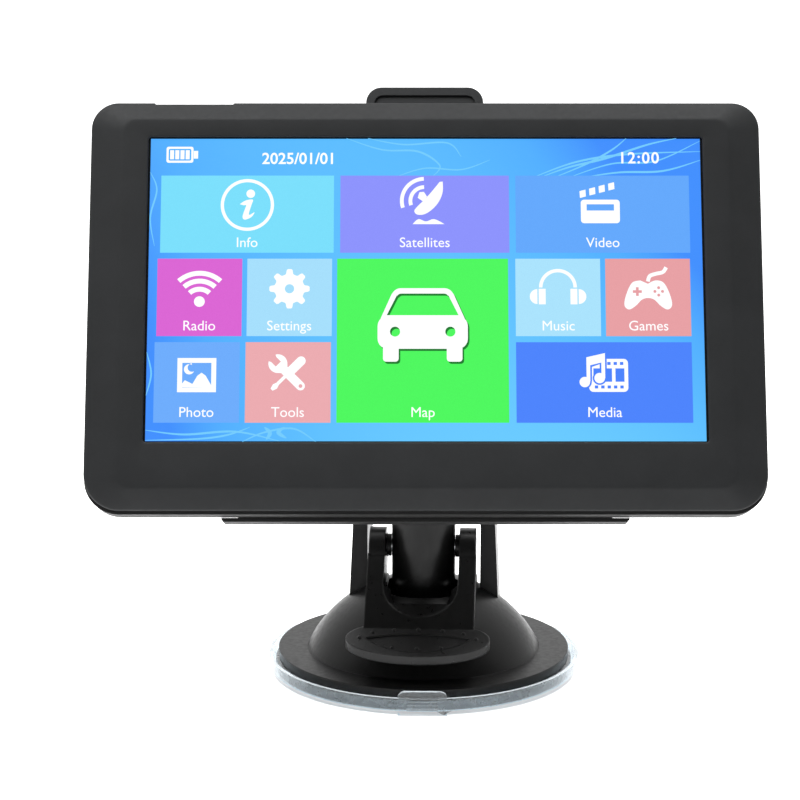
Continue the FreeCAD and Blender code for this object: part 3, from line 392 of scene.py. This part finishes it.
GLASS = moulded("display_edge_black", 0.004, 0.2, 1500.0, 0.05, 0.3, 0.0)

NODE_MATERIALS = {
    "front_bezel": BEZEL, "rear_cover": SHELL, "screen_gasket": FOAM, "touch_panel": GLASS,
    "lcd_panel": GLASS, "backlight_tray": TIN, "main_board": BOARD, "shield_can": TIN,
    "gps_antenna": CERAMIC, "tact_switch": KEY, "usb_port": CHROME, "card_slot": CHROME,
    "audio_jack": KEY, "battery": POUCH, "speaker": STEEL, "lcd_flex": AMBER, "case_screws": STEEL,
    "board_screws": STEEL, "power_button": KEY, "cradle": CRADLE, "release_latch": LATCH,
    "latch_pin": STEEL, "mount_plate": MOUNT, "ball_stud": MOUNT, "plate_screw": STEEL,
    "friction_cup": NYLON, "locking_collar": MOUNT, "arm": MOUNT, "tilt_bolt": STEEL,
    "tilt_knob": MOUNT, "tilt_nut": STEEL, "friction_washers": NYLON, "base_housing": DOME,
    "plunger": MOUNT, "lever_pin": STEEL, "lever_bushes": MOUNT, "release_spring": STEEL,
    "suction_lever": LEVER, "suction_pad": GEL, "protective_cap": CLEAR,
}


def paint_nodes():
    """Gives each CAD node its material in all its slots."""
    for node, material in NODE_MATERIALS.items():
        mesh = NODES[node].data
        if not mesh.materials:
            mesh.materials.append(material)
        for slot_number in range(len(mesh.materials)):
            mesh.materials[slot_number] = material


paint_nodes()


# ------------------------------------------------------------------ navigator: bezel

WINDOW_HALF_U, WINDOW_HALF_V = 77.1, 43.0
RECESS_LEFT, RECESS_RIGHT = -75.6, -53.9
RECESS_DEEP = 0.6
RECESS_FRONT = -2.5
CORNER_STEPS = 12


def cut_recess(mesh, high):
    """The power key's shallow recess in the top edge, behind the slope's front part."""
    floor, above = high - RECESS_DEEP, high + 1
    notch = [(RECESS_LEFT, floor), (RECESS_RIGHT, floor), (RECESS_RIGHT + 1, above), (RECESS_LEFT - 1, above)]
    return carve(mesh, flat_shape([notch], RECESS_FRONT, 12.0))


def make_bezel():
    """Front frame: side wall, soft-edged slope, flat face, eased edge down to the glass, inner wall."""
    (left, right), (low, high), (back, _front) = unit_span("front_bezel")
    side, end, deep = 9.1, 5.75, 3.5
    outer = (10.0, 10.0, 7.5, 7.5)
    inner = (4.4, 4.4, 4.0, 4.0)
    hollow = (8.0, 8.0, 6.0, 6.0)
    wall = 1.6

    def ring(along, depth):
        """A ring that lies a share of the way from the outline to the flat face."""
        radii = [a + (b - a) * min(along, 1) for a, b in zip(outer, inner)]
        return rounded_loop(left + side * along, right - side * along, low + end * along,
                            high - end * along, radii, depth, CORNER_STEPS)

    loops = [ring(0.03, back), ring(0.0, back + 0.25), ring(0.0, -deep - 0.9), ring(0.004, -deep - 0.45),
             ring(0.018, -deep - 0.12), ring(0.045, -deep + 0.08), ring(0.085, -deep * 0.93)]
    for along in (0.3, 0.6, 0.85, 0.92):
        loops.append(ring(along, -deep * (1 - along)))
    loops += [ring(0.96, -0.16), ring(0.99, -0.08), ring(1.03, -0.02), ring(1.07, 0.0), ring(1.2, 0.0)]
    for grow, depth, corner in ((0.45, 0.0, 1.1), (0.3, -0.03, 1.0), (0.12, -0.12, 0.9),
                                (0.0, -0.3, 0.8), (0.0, -0.8, 0.8)):
        half_u, half_v = WINDOW_HALF_U + grow, WINDOW_HALF_V + grow
        loops.append(rounded_loop(-half_u, half_u, -half_v, half_v, (corner,) * 4, depth, CORNER_STEPS))
    for beside, over, depth in ((side - 0.6, end - 0.3, -1.6), (wall, wall, -4.6), (wall, wall, back)):
        loops.append(rounded_loop(left + beside, right - beside, low + over, high - over, hollow, depth,
                                  CORNER_STEPS))
    loops.append(loops[0])
    shell = cut_recess(loft(loops), high)
    piece = finish_mesh("bezel_shell", shell, BEZEL, "navigator", UNIT, 50, ("front_bezel",))


make_bezel()


# ------------------------------------------------------------------ navigator: what the screen shows

GLASS_FRONT = unit_span("touch_panel")[2][1]
LAYER = 0.035
SHOWN_UP = 0.85
STATUS_BOLD = 0.07
WHITE = lit("display_white", (0.98, 0.99, 1.0), 1.05, 0.01)
SHADOW = lit("display_shadow", srgb(20, 120, 40))


def display_wallpaper():
    """Blue wallpaper, paler in the middle and towards the upper left and lower right."""
    material, tree, shader = new_material("display_wallpaper")
    x, _y, z = position(tree, "Object")
    wide, tall = 0.154, 0.083
    across = math_node(tree, "MULTIPLY", x, 1 / wide)
    up = math_node(tree, "MULTIPLY_ADD", z, 1 / tall, -UNIT.translation.z / tall)
    darker_up = math_node(tree, "MULTIPLY_ADD", up, -0.35, 0.6)
    corners = math_node(tree, "MULTIPLY", across, up)
    saddle = math_node(tree, "MULTIPLY_ADD", corners, -1.4, darker_up)
    sides = math_node(tree, "MULTIPLY", across, across)
    level = math_node(tree, "MULTIPLY_ADD", sides, -2.2, saddle)
    stops = ((0.02, srgb(62, 142, 253)), (0.25, srgb(79, 174, 254)), (0.55, srgb(92, 191, 254)),
             (0.95, srgb(108, 206, 255)))
    glow_under_film(tree, shader, ramp(tree, level, stops), 1.0)
    return material


def on_screen(name, mesh, material, up=SHOWN_UP):
    """A layer of the display, moved up to where the shown page sits in the window."""
    piece = finish_mesh(name, mesh, material, "navigator", UNIT @ Matrix.Translation((0, up, 0)), 35)


def box_loop(left, right, low, high):
    """A rectangle's corners."""
    return [(left, low), (right, low), (right, high), (left, high)]


def soft_box(left, right, low, high, radius):
    """A rectangle with rounded corners."""
    loop = rounded_loop(left, right, low, high, (radius,) * 4, 0, 5)
    return [(point.x, point.y) for point in loop]


def arc(middle, radius, start, end, steps=24):
    """Points on an arc, degrees anticlockwise from the right."""
    across, up = middle
    turns = [math.radians(start + (end - start) * step / steps) for step in range(steps + 1)]
    return [(across + radius * math.cos(turn), up + radius * math.sin(turn)) for turn in turns]


def disc(across, up, radius, steps=32):
    """A circle."""
    return arc((across, up), radius, 0, 360 - 360 / steps, steps - 1)


def band(middle, inner, outer, start, end, steps=24):
    """A curved bar between two radii."""
    return arc(middle, outer, start, end, steps) + arc(middle, inner, end, start, steps)


def turned(loop, degrees, about=(0, 0)):
    """An outline turned about a point."""
    turn = math.radians(degrees)
    out = []
    for across, up in loop:
        x, y = across - about[0], up - about[1]
        out.append((about[0] + x * math.cos(turn) - y * math.sin(turn),
                    about[1] + x * math.sin(turn) + y * math.cos(turn)))
    return out


def moved(loop, across, up, grow=1.0):
    """An outline scaled about the origin, then shifted."""
    return [(x * grow + across, y * grow + up) for x, y in loop]


def stroke(line, halves):
    """An outline along an open line, from the line's half width at each of its points."""
    left, right = [], []
    for number, ((x, y), half) in enumerate(zip(line, halves)):
        ax, ay = line[max(number - 1, 0)]
        bx, by = line[min(number + 1, len(line) - 1)]
        length = math.hypot(bx - ax, by - ay)
        nx, ny = -(by - ay) / length * half, (bx - ax) / length * half
        left.append((x + nx, y + ny))
        right.append((x - nx, y - ny))
    return left + right[::-1]


def smooth_line(points, steps=6):
    """More points along a line that passes through the given ones (Catmull-Rom)."""
    padded = [points[0], *points, points[-1]]
    out = []
    for a, b, c, d in zip(padded, padded[1:], padded[2:], padded[3:]):
        for step in range(steps):
            t = step / steps
            out.append(tuple(0.5 * (2 * q + (r - p) * t + (2 * p - 5 * q + 4 * r - s) * t * t
                                    + (3 * q - p - 3 * r + s) * t ** 3)
                             for p, q, r, s in zip(a, b, c, d)))
    out.append(points[-1])
    return out


def icon_info():
    """An i in a ring."""
    ring = [disc(0, 0, 7.4, 48), disc(0, 0, 6.5, 48)]
    dot = [disc(0.9, 3.2, 1.2, 24)]
    stem = [smooth_line([(-2.1, 0.2), (-0.5, 1.25), (1.5, 1.5), (1.2, 0.2), (0.45, -2.3), (0.7, -2.85),
                         (2.0, -2.1), (1.2, -3.4), (-0.6, -4.2), (-1.3, -3.4), (-0.6, -1.0), (-0.3, -0.1),
                         (-1.0, -0.1)], 4)]
    return ring + dot + stem


def icon_dish():
    """A dish antenna that sends waves."""
    waves = [band((0.6, 0.6), 6.1, 7.2, 92, 198), band((0.6, 0.6), 3.6, 4.7, 92, 198)]
    bowl = smooth_line([(5.9, 6.4), (5.9, 3.4), (4.9, 0.6), (3.0, -1.8), (0.6, -3.4), (-1.6, -3.5),
                        (-2.4, -2.4), (-1.4, -1.0), (0.4, 0.8), (2.2, 2.8), (4.0, 5.0), (5.0, 6.3)], 4)
    horn = [(-0.9, 3.2), (0.4, 3.3), (1.3, 1.9), (0.2, 0.4), (-1.4, 1.5)]
    foot = smooth_line([(-2.9, -6.4), (-1.2, -4.9), (1.0, -5.6), (3.4, -4.9), (6.4, -6.4)], 4)
    return [[*waves], [bowl], [horn], [foot]]


def icon_clapper():
    """A film clapper."""
    board = [soft_box(-5.4, 5.4, -6.0, 0.7, 0.9), box_loop(-3.8, 3.8, -2.4, -0.6)]
    blocks = []
    for step in range(4):
        across = -5.6 + step * 2.75
        cell = [(across, 0), (across + 1.7, 0), (across + 2.1, 1.9), (across + 0.4, 1.9)]
        blocks.append(turned(moved(cell, 0, 1.2), 15, (-5.6, 1.2)))
    return board + blocks


def icon_radio():
    """Waves above a dot."""
    middle = (0, -3.9)
    return [disc(0, -3.2, 1.75), band(middle, 4.0, 5.6, 48, 132), band(middle, 6.7, 8.3, 48, 132),
            band(middle, 9.3, 10.9, 48, 132)]


def icon_gear():
    """A gear with eight teeth."""
    loop = []
    for tooth in range(8):
        middle = tooth * 45
        for away, radius in ((-17, 4.5), (-13, 4.7), (-9, 5.7), (-5.5, 6.05), (5.5, 6.05), (9, 5.7),
                             (13, 4.7), (17, 4.5)):
            turn = math.radians(middle + away)
            loop.append((radius * math.cos(turn), radius * math.sin(turn)))
    return [loop, disc(0, 0, 1.4, 24)]


def icon_car():
    """A car from the front."""
    body = soft_box(-12.4, 12.4, -6.0, 3.2, 2.8)
    lamps = [disc(-7.6, -1.2, 1.4), disc(7.6, -1.2, 1.4)]
    wheels = [soft_box(-10.9, -6.6, -9.6, -4.0, 0.9), soft_box(6.6, 10.9, -9.6, -4.0, 0.9)]
    roof_outer = [(-11.6, 2.4), (-8.6, 9.2), *arc((-6.0, 8.4), 2.6, 150, 90, 6),
                  *arc((6.0, 8.4), 2.6, 90, 30, 6), (8.6, 9.2), (11.6, 2.4)]
    roof_inner = [(-9.9, 3.4), (-7.1, 9.0), *arc((-5.9, 8.2), 1.3, 150, 90, 6),
                  *arc((5.9, 8.2), 1.3, 90, 30, 6), (7.1, 9.0), (9.9, 3.4)]
    return [[body, *lamps], [wheels[0]], [wheels[1]], [roof_outer, roof_inner]]


def icon_headphones():
    """Headphones."""
    return [band((0, 0.4), 4.5, 5.5, 0, 180, 32),
            box_loop(-5.6, -3.6, -4.6, 0.0), box_loop(3.6, 5.6, -4.6, 0.0),
            arc((-6.0, -2.3), 2.2, 90, 270, 16), arc((6.0, -2.3), 2.2, -90, 90, 16)]


def icon_gamepad():
    """A game controller with its lead."""
    pad = smooth_line([(0, 1.9), (2.2, 2.9), (4.6, 2.2), (6.3, -1.2), (6.9, -4.4), (5.6, -5.7), (3.6, -4.6),
                       (1.8, -2.8), (0, -2.3), (-1.8, -2.8), (-3.6, -4.6), (-5.6, -5.7), (-6.9, -4.4),
                       (-6.3, -1.2), (-4.6, 2.2), (-2.2, 2.9)], 5)
    cross = [(-3.5, 0.0), (-3.5, 0.9), (-2.7, 0.9), (-2.7, 0.0), (-1.8, 0.0), (-1.8, -0.8), (-2.7, -0.8),
             (-2.7, -1.7), (-3.5, -1.7), (-3.5, -0.8), (-4.4, -0.8), (-4.4, 0.0)]
    keys = [disc(3.1, 0.75, 0.45, 12), disc(3.1, -1.45, 0.45, 12), disc(2.0, -0.35, 0.45, 12),
            disc(4.2, -0.35, 0.45, 12)]
    line = smooth_line([(0.0, 2.6), (0.6, 4.2), (2.4, 4.9), (4.4, 5.4), (5.4, 6.8)])
    return [pad, cross, *keys, stroke(line, [0.55] * len(line))]


def icon_picture():
    """A framed picture of hills and a moon."""
    border = [box_loop(-5.6, 5.6, -5.0, 5.0), box_loop(-4.2, 4.2, -3.6, 3.6)]
    hills = [(-4.2, -3.7), (-4.2, -2.5), (-3.4, -1.5), (-2.4, -2.0), (-1.2, -2.6), (0.2, -0.2), (1.4, 0.7),
             (2.6, -0.2), (4.2, -3.0), (4.2, -3.7)]
    moon = arc((-2.2, 1.7), 1.5, 60, 330, 24) + arc((-1.4, 2.2), 1.25, 300, 90, 16)
    return border + [hills, moon]


def icon_tools():
    """A crossed wrench and screwdriver."""
    wrench = [(-1.1, 6.2), (-1.1, 4.2), (1.1, 4.2), (1.1, 6.2), *arc((0, 4.4), 2.9, 60, -50, 10),
              (1.35, 1.6), (1.35, -5.4), *arc((0, -5.4), 1.35, 0, -180, 10), (-1.35, 1.6),
              *arc((0, 4.4), 2.9, 230, 120, 10)]
    driver = [(-0.45, -7.0), (0.45, -7.0), (0.9, -5.6), (0.5, -4.4), (0.5, 0.6), (1.4, 1.2), (1.4, 5.6),
              *arc((0, 5.6), 1.4, 0, 180, 10), (-1.4, 1.2), (-0.5, 0.6), (-0.5, -4.4), (-0.9, -5.6)]
    hole = disc(0, -5.4, 0.6, 12)
    return [[turned(wrench, 45), turned(hole, 45)], [turned(driver, -45)]]


def icon_film():
    """A piece of film."""
    film = [soft_box(-4.2, 8.4, -6.4, 4.4, 1.4)]
    for step in range(5):
        film.append(box_loop(-2.4 + step * 2.05, -1.3 + step * 2.05, -5.3, -4.3))
    for step in range(2, 5):
        film.append(box_loop(-2.4 + step * 2.05, -1.3 + step * 2.05, 2.4, 3.4))
    film.append(box_loop(4.3, 7.2, -3.1, 1.3))
    film.append(box_loop(-2.8, 3.2, -3.1, 1.3))
    return [film]


def note(grow):
    """A double note; a positive amount makes it fatter all round."""
    stems = [(-5.0 - grow, 4.9 + grow), (1.0 + grow, 6.3 + grow), (1.0 + grow, -2.0), (-0.2 - grow, -2.0),
             (-0.2 - grow, 3.2 - grow), (-3.8 + grow, 2.3 - grow), (-3.8 + grow, -3.0), (-5.0 - grow, -3.0)]
    return [[stems], [disc(-5.6, -3.2, 1.7 + grow, 24)], [disc(-0.8, -1.9, 1.7 + grow, 24)]]


def layered(icon):
    """An icon as groups of outlines: a plain list of outlines is one group."""
    first = icon[0][0]
    return icon if isinstance(first, list) else [icon]


# Each tile: its box, colour, word, picture, the picture's shift from the tile's centre, and its scale.
TILES = {
    "info": ((-73.4, -25.4, 9.2, 31.2), (120, 222, 253), "Info", icon_info, (0, 2.6), 1.0),
    "satellites": ((-23.6, 23.2, 9.2, 31.2), (139, 145, 255), "Satellites", icon_dish, (-0.6, 3.2), 0.95),
    "video": ((25.0, 73.2, 9.2, 31.2), (97, 167, 254), "Video", icon_clapper, (-0.6, 3.4), 1.0),
    "radio": ((-74.0, -50.6, -14.3, 7.5), (218, 98, 211), "Radio", icon_radio, (0, 1.5), 0.85),
    "settings": ((-49.2, -25.8, -14.3, 7.5), (164, 222, 254), "Settings", icon_gear, (0, 2.4), 0.92),
    "map": ((-24.4, 22.8, -38.4, 7.5), (74, 247, 91), "Map", icon_car, (0, 3.6), 1.0),
    "music": ((24.8, 48.2, -14.3, 7.5), (169, 226, 255), "Music", icon_headphones, (0, 2.4), 0.95),
    "games": ((49.6, 73.0, -14.3, 7.5), (231, 159, 163), "Games", icon_gamepad, (0, 2.0), 0.95),
    "photo": ((-74.4, -51.0, -38.4, -16.0), (107, 171, 254), "Photo", icon_picture, (0, 2.0), 0.95),
    "tools": ((-49.4, -26.0, -38.4, -16.0), (235, 170, 175), "Tools", icon_tools, (0, 2.4), 0.9),
    "media": ((24.8, 73.0, -38.4, -16.0), (73, 130, 255), "Media", icon_film, (-0.6, 2.8), 0.85),
}


SWIRL_SHARE = 0.65


def ribbon(points, wide):
    """A swirl of the wallpaper: a line that thins out towards both ends."""
    line = smooth_line(points, 8)
    count = len(line) + 0.2
    return stroke(line, [wide / 2 * math.sin(math.pi * (number + 0.6) / count) + 0.04
                         for number in range(len(line))])


# Each swirl: points along it, and its width.
SWIRLS = (
    ([(32, 31.6), (40, 34.5), (50, 37.0), (62, 41.0), (70, 42.8)], 0.9),
    ([(36, 31.6), (45, 35.5), (52, 39.5), (56, 42.8)], 0.7),
    ([(30, 31.6), (42, 36.0), (56, 38.2), (76.5, 39.0)], 0.8),
    ([(44, 31.6), (54, 33.0), (66, 33.4), (76.5, 36.5)], 0.8),
    ([(40, 31.6), (52, 35.5), (64, 36.2), (76.5, 42.0)], 0.6),
    ([(-22, 42.8), (-12, 39.5), (-2, 39.0), (4, 35.0), (2, 31.8)], 0.7),
    ([(-16, 42.8), (-6, 41.0), (6, 41.5), (10, 37.5)], 0.6),
    ([(-8, 31.8), (0, 34.2), (10, 33.8), (18, 36.6)], 0.5),
    ([(-76.5, -39.6), (-66, -40.8), (-52, -40.0), (-40, -42.6)], 0.8),
    ([(-76.5, -42.4), (-62, -42.0), (-54, -40.9), (-48, -38.8)], 0.7),
    ([(-50, -42.8), (-44, -40.2), (-36, -39.2), (-30, -42.8)], 0.7),
    ([(-76.5, -30), (-75.2, -24), (-76.5, -18)], 0.6),
    ([(-76.5, 33), (-74.6, 28), (-76.3, 20), (-75.0, 12)], 0.6),
    ([(-44, -38.8), (-42.5, -40.4), (-43.5, -42.2)], 1.6),
    ([(-38.5, -38.8), (-40.2, -40.2), (-38.0, -41.8)], 1.6),
)


def make_wallpaper(front):
    """The wallpaper, inset to leave a thin dark border of painted shade from the window's edge, and its
    swirls.
    """
    # Painted shade: the unlit dark glass left round the wallpaper stands for the shade that the window's edge
    # casts.
    half_u, half_v = WINDOW_HALF_U - 0.6, WINDOW_HALF_V - 0.35
    on_screen("display_wallpaper", flat_shape([box_loop(-half_u, half_u, -half_v, half_v)], front, LAYER),
              display_wallpaper(), 0)
    faint = lit("display_swirl", srgb(116, 204, 255))
    for number, (points, wide) in enumerate(SWIRLS):
        mesh = flat_shape([ribbon(points, SWIRL_SHARE * wide)], front + (0.6 + number * 0.02) * LAYER,
                          LAYER)
        on_screen(f"swirl_{number}", mesh, faint, 0)


def place_picture(name, groups, across, up, grow, front, material):
    """A tile's picture: each group of outlines is a plate, a little in front of the one before."""
    for number, group in enumerate(groups):
        loops = [moved(loop, across, up, grow) for loop in group]
        mesh = flat_shape(loops, front + number * 0.1 * LAYER, LAYER)
        on_screen(f"{name}_{number}", mesh, material)


def make_tile(key, front):
    """A tile with its picture and word; the map's picture has a shadow, the media's a note on top."""
    (left, right, low, high), colour, words, icon, (across, up), grow = TILES[key]
    middle = (left + right) / 2
    across, up = middle + across, (low + high) / 2 + up
    paint = lit("display_" + key, srgb(*colour))
    tile = flat_shape([box_loop(left, right, low, high)], front + 2 * LAYER, LAYER)
    on_screen("tile_" + key, tile, paint)
    groups = layered(icon())
    if key == "map":
        place_picture("shade_map", groups, across + 0.45, up - 0.6, grow, front + 2.5 * LAYER, SHADOW)
    place_picture("icon_" + key, groups, across, up, grow, front + 3 * LAYER, WHITE)
    if key == "media":
        place_picture("note_0", note(0.55), across, up, grow, front + 3.6 * LAYER, paint)
        place_picture("note_1", note(0.0), across, up, grow, front + 4.2 * LAYER, WHITE)
    on_screen("word_" + key, lettering(words, 2.9, middle, low + 1.6, front + 3 * LAYER, LAYER), WHITE)


def make_status_bar(front):
    """Date, clock and battery above the tiles."""
    date = lettering("2025/01/01", 3.3, -35.2, 34.6, front, LAYER, STATUS_BOLD)
    on_screen("status_date", date, WHITE)
    clock = lettering("12:00", 3.3, 59.4, 34.8, front, LAYER, STATUS_BOLD, 1.15)
    on_screen("status_clock", clock, WHITE)
    case = [soft_box(-72.1, -64.6, 34.9, 39.5, 0.6), soft_box(-71.5, -65.2, 35.5, 38.9, 0.4)]
    on_screen("status_battery", flat_shape(case, front, LAYER), WHITE)
    bars = [box_loop(-71.1 + step * 1.45, -70.0 + step * 1.45, 35.9, 38.5) for step in range(4)]
    bars.append(box_loop(-64.5, -63.3, 36.1, 38.3))
    on_screen("status_bars", flat_shape(bars, front, LAYER), WHITE)


def make_display():
    """The lit screen: wallpaper, tiles and status bar, each a thin layer over the last."""
    front = GLASS_FRONT + LAYER
    make_wallpaper(front)
    for key in TILES:
        make_tile(key, front)
    make_status_bar(front + 2 * LAYER)


make_display()


# ------------------------------------------------------------------ suction pad

PAD_STEPS = 96
PAD_SHARP = 30


def turned_ring(radius, high):
    """A circle about the base's axis, millimetres."""
    angles = [2 * math.pi * number / PAD_STEPS for number in range(PAD_STEPS)]
    return [(radius * math.cos(angle), radius * math.sin(angle), high) for angle in angles]


def make_suction_pad():
    """Soft disc: a rim that stays under the flange, and a centre of its own under the plunger."""
    low, high = (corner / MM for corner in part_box("suction_pad"))
    radius, floor, top = high[0], low[2], high[2]
    neck, underside, shoulder, edge = 30.0, floor + 0.6, floor + 2.8, 0.5
    soft = 0.3 * edge
    rim = [(neck, underside), (neck, shoulder), (radius - edge, shoulder), (radius - soft, shoulder - soft),
           (radius, shoulder - edge), (radius, floor + edge), (radius - soft, floor + soft),
           (radius - edge, floor), (neck + 6, floor), (neck, underside)]
    scale = Matrix.Scale(MM, 4)
    outer = finish_mesh("pad_rim", loft([turned_ring(*point) for point in rim]), GEL, "base", scale,
                        PAD_SHARP, ("suction_pad",))
    middle = [(14.0, floor + 2.2), (neck, underside), (neck, shoulder), (15.5, top)]
    inner = finish_mesh("pad_centre", loft([turned_ring(*point) for point in middle], True), GEL,
                        "base", scale, PAD_SHARP)
    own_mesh(inner)


make_suction_pad()


# ------------------------------------------------------------------ camera, light and floor

FORWARD_DIP = 11.3
SIDE_TURN = 0.07


def make_camera():
    """Long lens a little above the unit, looking slightly down at it."""
    lens = bpy.data.cameras.new("camera")
    lens.lens = 100.0
    lens.sensor_width = 36.0
    lens.clip_start = 0.01
    lens.clip_end = 20.0
    camera = bpy.data.objects.new("camera", lens)
    camera.location = (-0.0063, -0.6459, 0.2110)
    camera.rotation_euler = (math.radians(90 - FORWARD_DIP), 0, math.radians(SIDE_TURN))
    bpy.context.scene.collection.objects.link(camera)
    bpy.context.scene.camera = camera


def area_light(name, place, aim, size, power):
    """A rectangular lamp aimed at a point."""
    lamp = bpy.data.lights.new(name, "AREA")
    lamp.shape = "RECTANGLE"
    lamp.size, lamp.size_y = size
    lamp.energy = power
    holder = bpy.data.objects.new(name, lamp)
    holder.location = place
    direction = Vector(aim) - Vector(place)
    holder.rotation_euler = direction.to_track_quat("-Z", "Y").to_euler()
    bpy.context.scene.collection.objects.link(holder)


def make_world():
    """Soft surroundings: dim in front of the screen, white behind the object and above it."""
    world = bpy.data.worlds.new("studio")
    world.use_nodes = True
    tree = world.node_tree
    _x, y, z = position(tree, "Generated")
    level = map_range(tree, math_node(tree, "MULTIPLY_ADD", z, 0.5, y), -0.1, 0.25, 0.16, 1.3)
    tree.links.new(level, tree.nodes["Background"].inputs["Strength"])
    tree.nodes["Background"].inputs["Color"].default_value = (1, 1, 1, 1)
    bpy.context.scene.world = world


def make_studio():
    """Pale floor that glows and is white except well in front of the object, and light from above."""
    floor = bpy.data.meshes.new("floor")
    far = 4.0
    floor.from_pydata([(-far, -far, 0), (far, -far, 0), (far, far, 0), (-far, far, 0)], [], [(0, 1, 2, 3)])
    piece = bpy.data.objects.new("floor", floor)
    bpy.context.scene.collection.objects.link(piece)
    material, tree, shader = new_material("floor_white")
    _x, y, _z = position(tree, "Object")
    glow = map_range(tree, y, -0.35, -0.12, 0.0, 1.0)
    paper = ramp(tree, glow, ((0.0, (0.6, 0.6, 0.6)), (1.0, (0.95, 0.95, 0.95))))
    power = math_node(tree, "MULTIPLY", glow, 0.75)
    tree.links.new(paper, shader.inputs["Base Color"])
    tree.links.new(paper, shader.inputs["Emission Color"])
    tree.links.new(power, shader.inputs["Emission Strength"])
    shader.inputs["Roughness"].default_value = 0.8
    shader.inputs["Specular IOR Level"].default_value = 0.0
    floor.materials.append(material)
    area_light("key_light", (-0.35, -0.25, 0.95), (0, -0.03, 0.12), (0.7, 0.5), 9.0)
    area_light("top_light", (0.25, 0.0, 1.0), (0, 0, 0.12), (0.9, 0.6), 5.0)


make_camera()
make_world()
make_studio()
bpy.context.scene.view_settings.view_transform = "Standard"
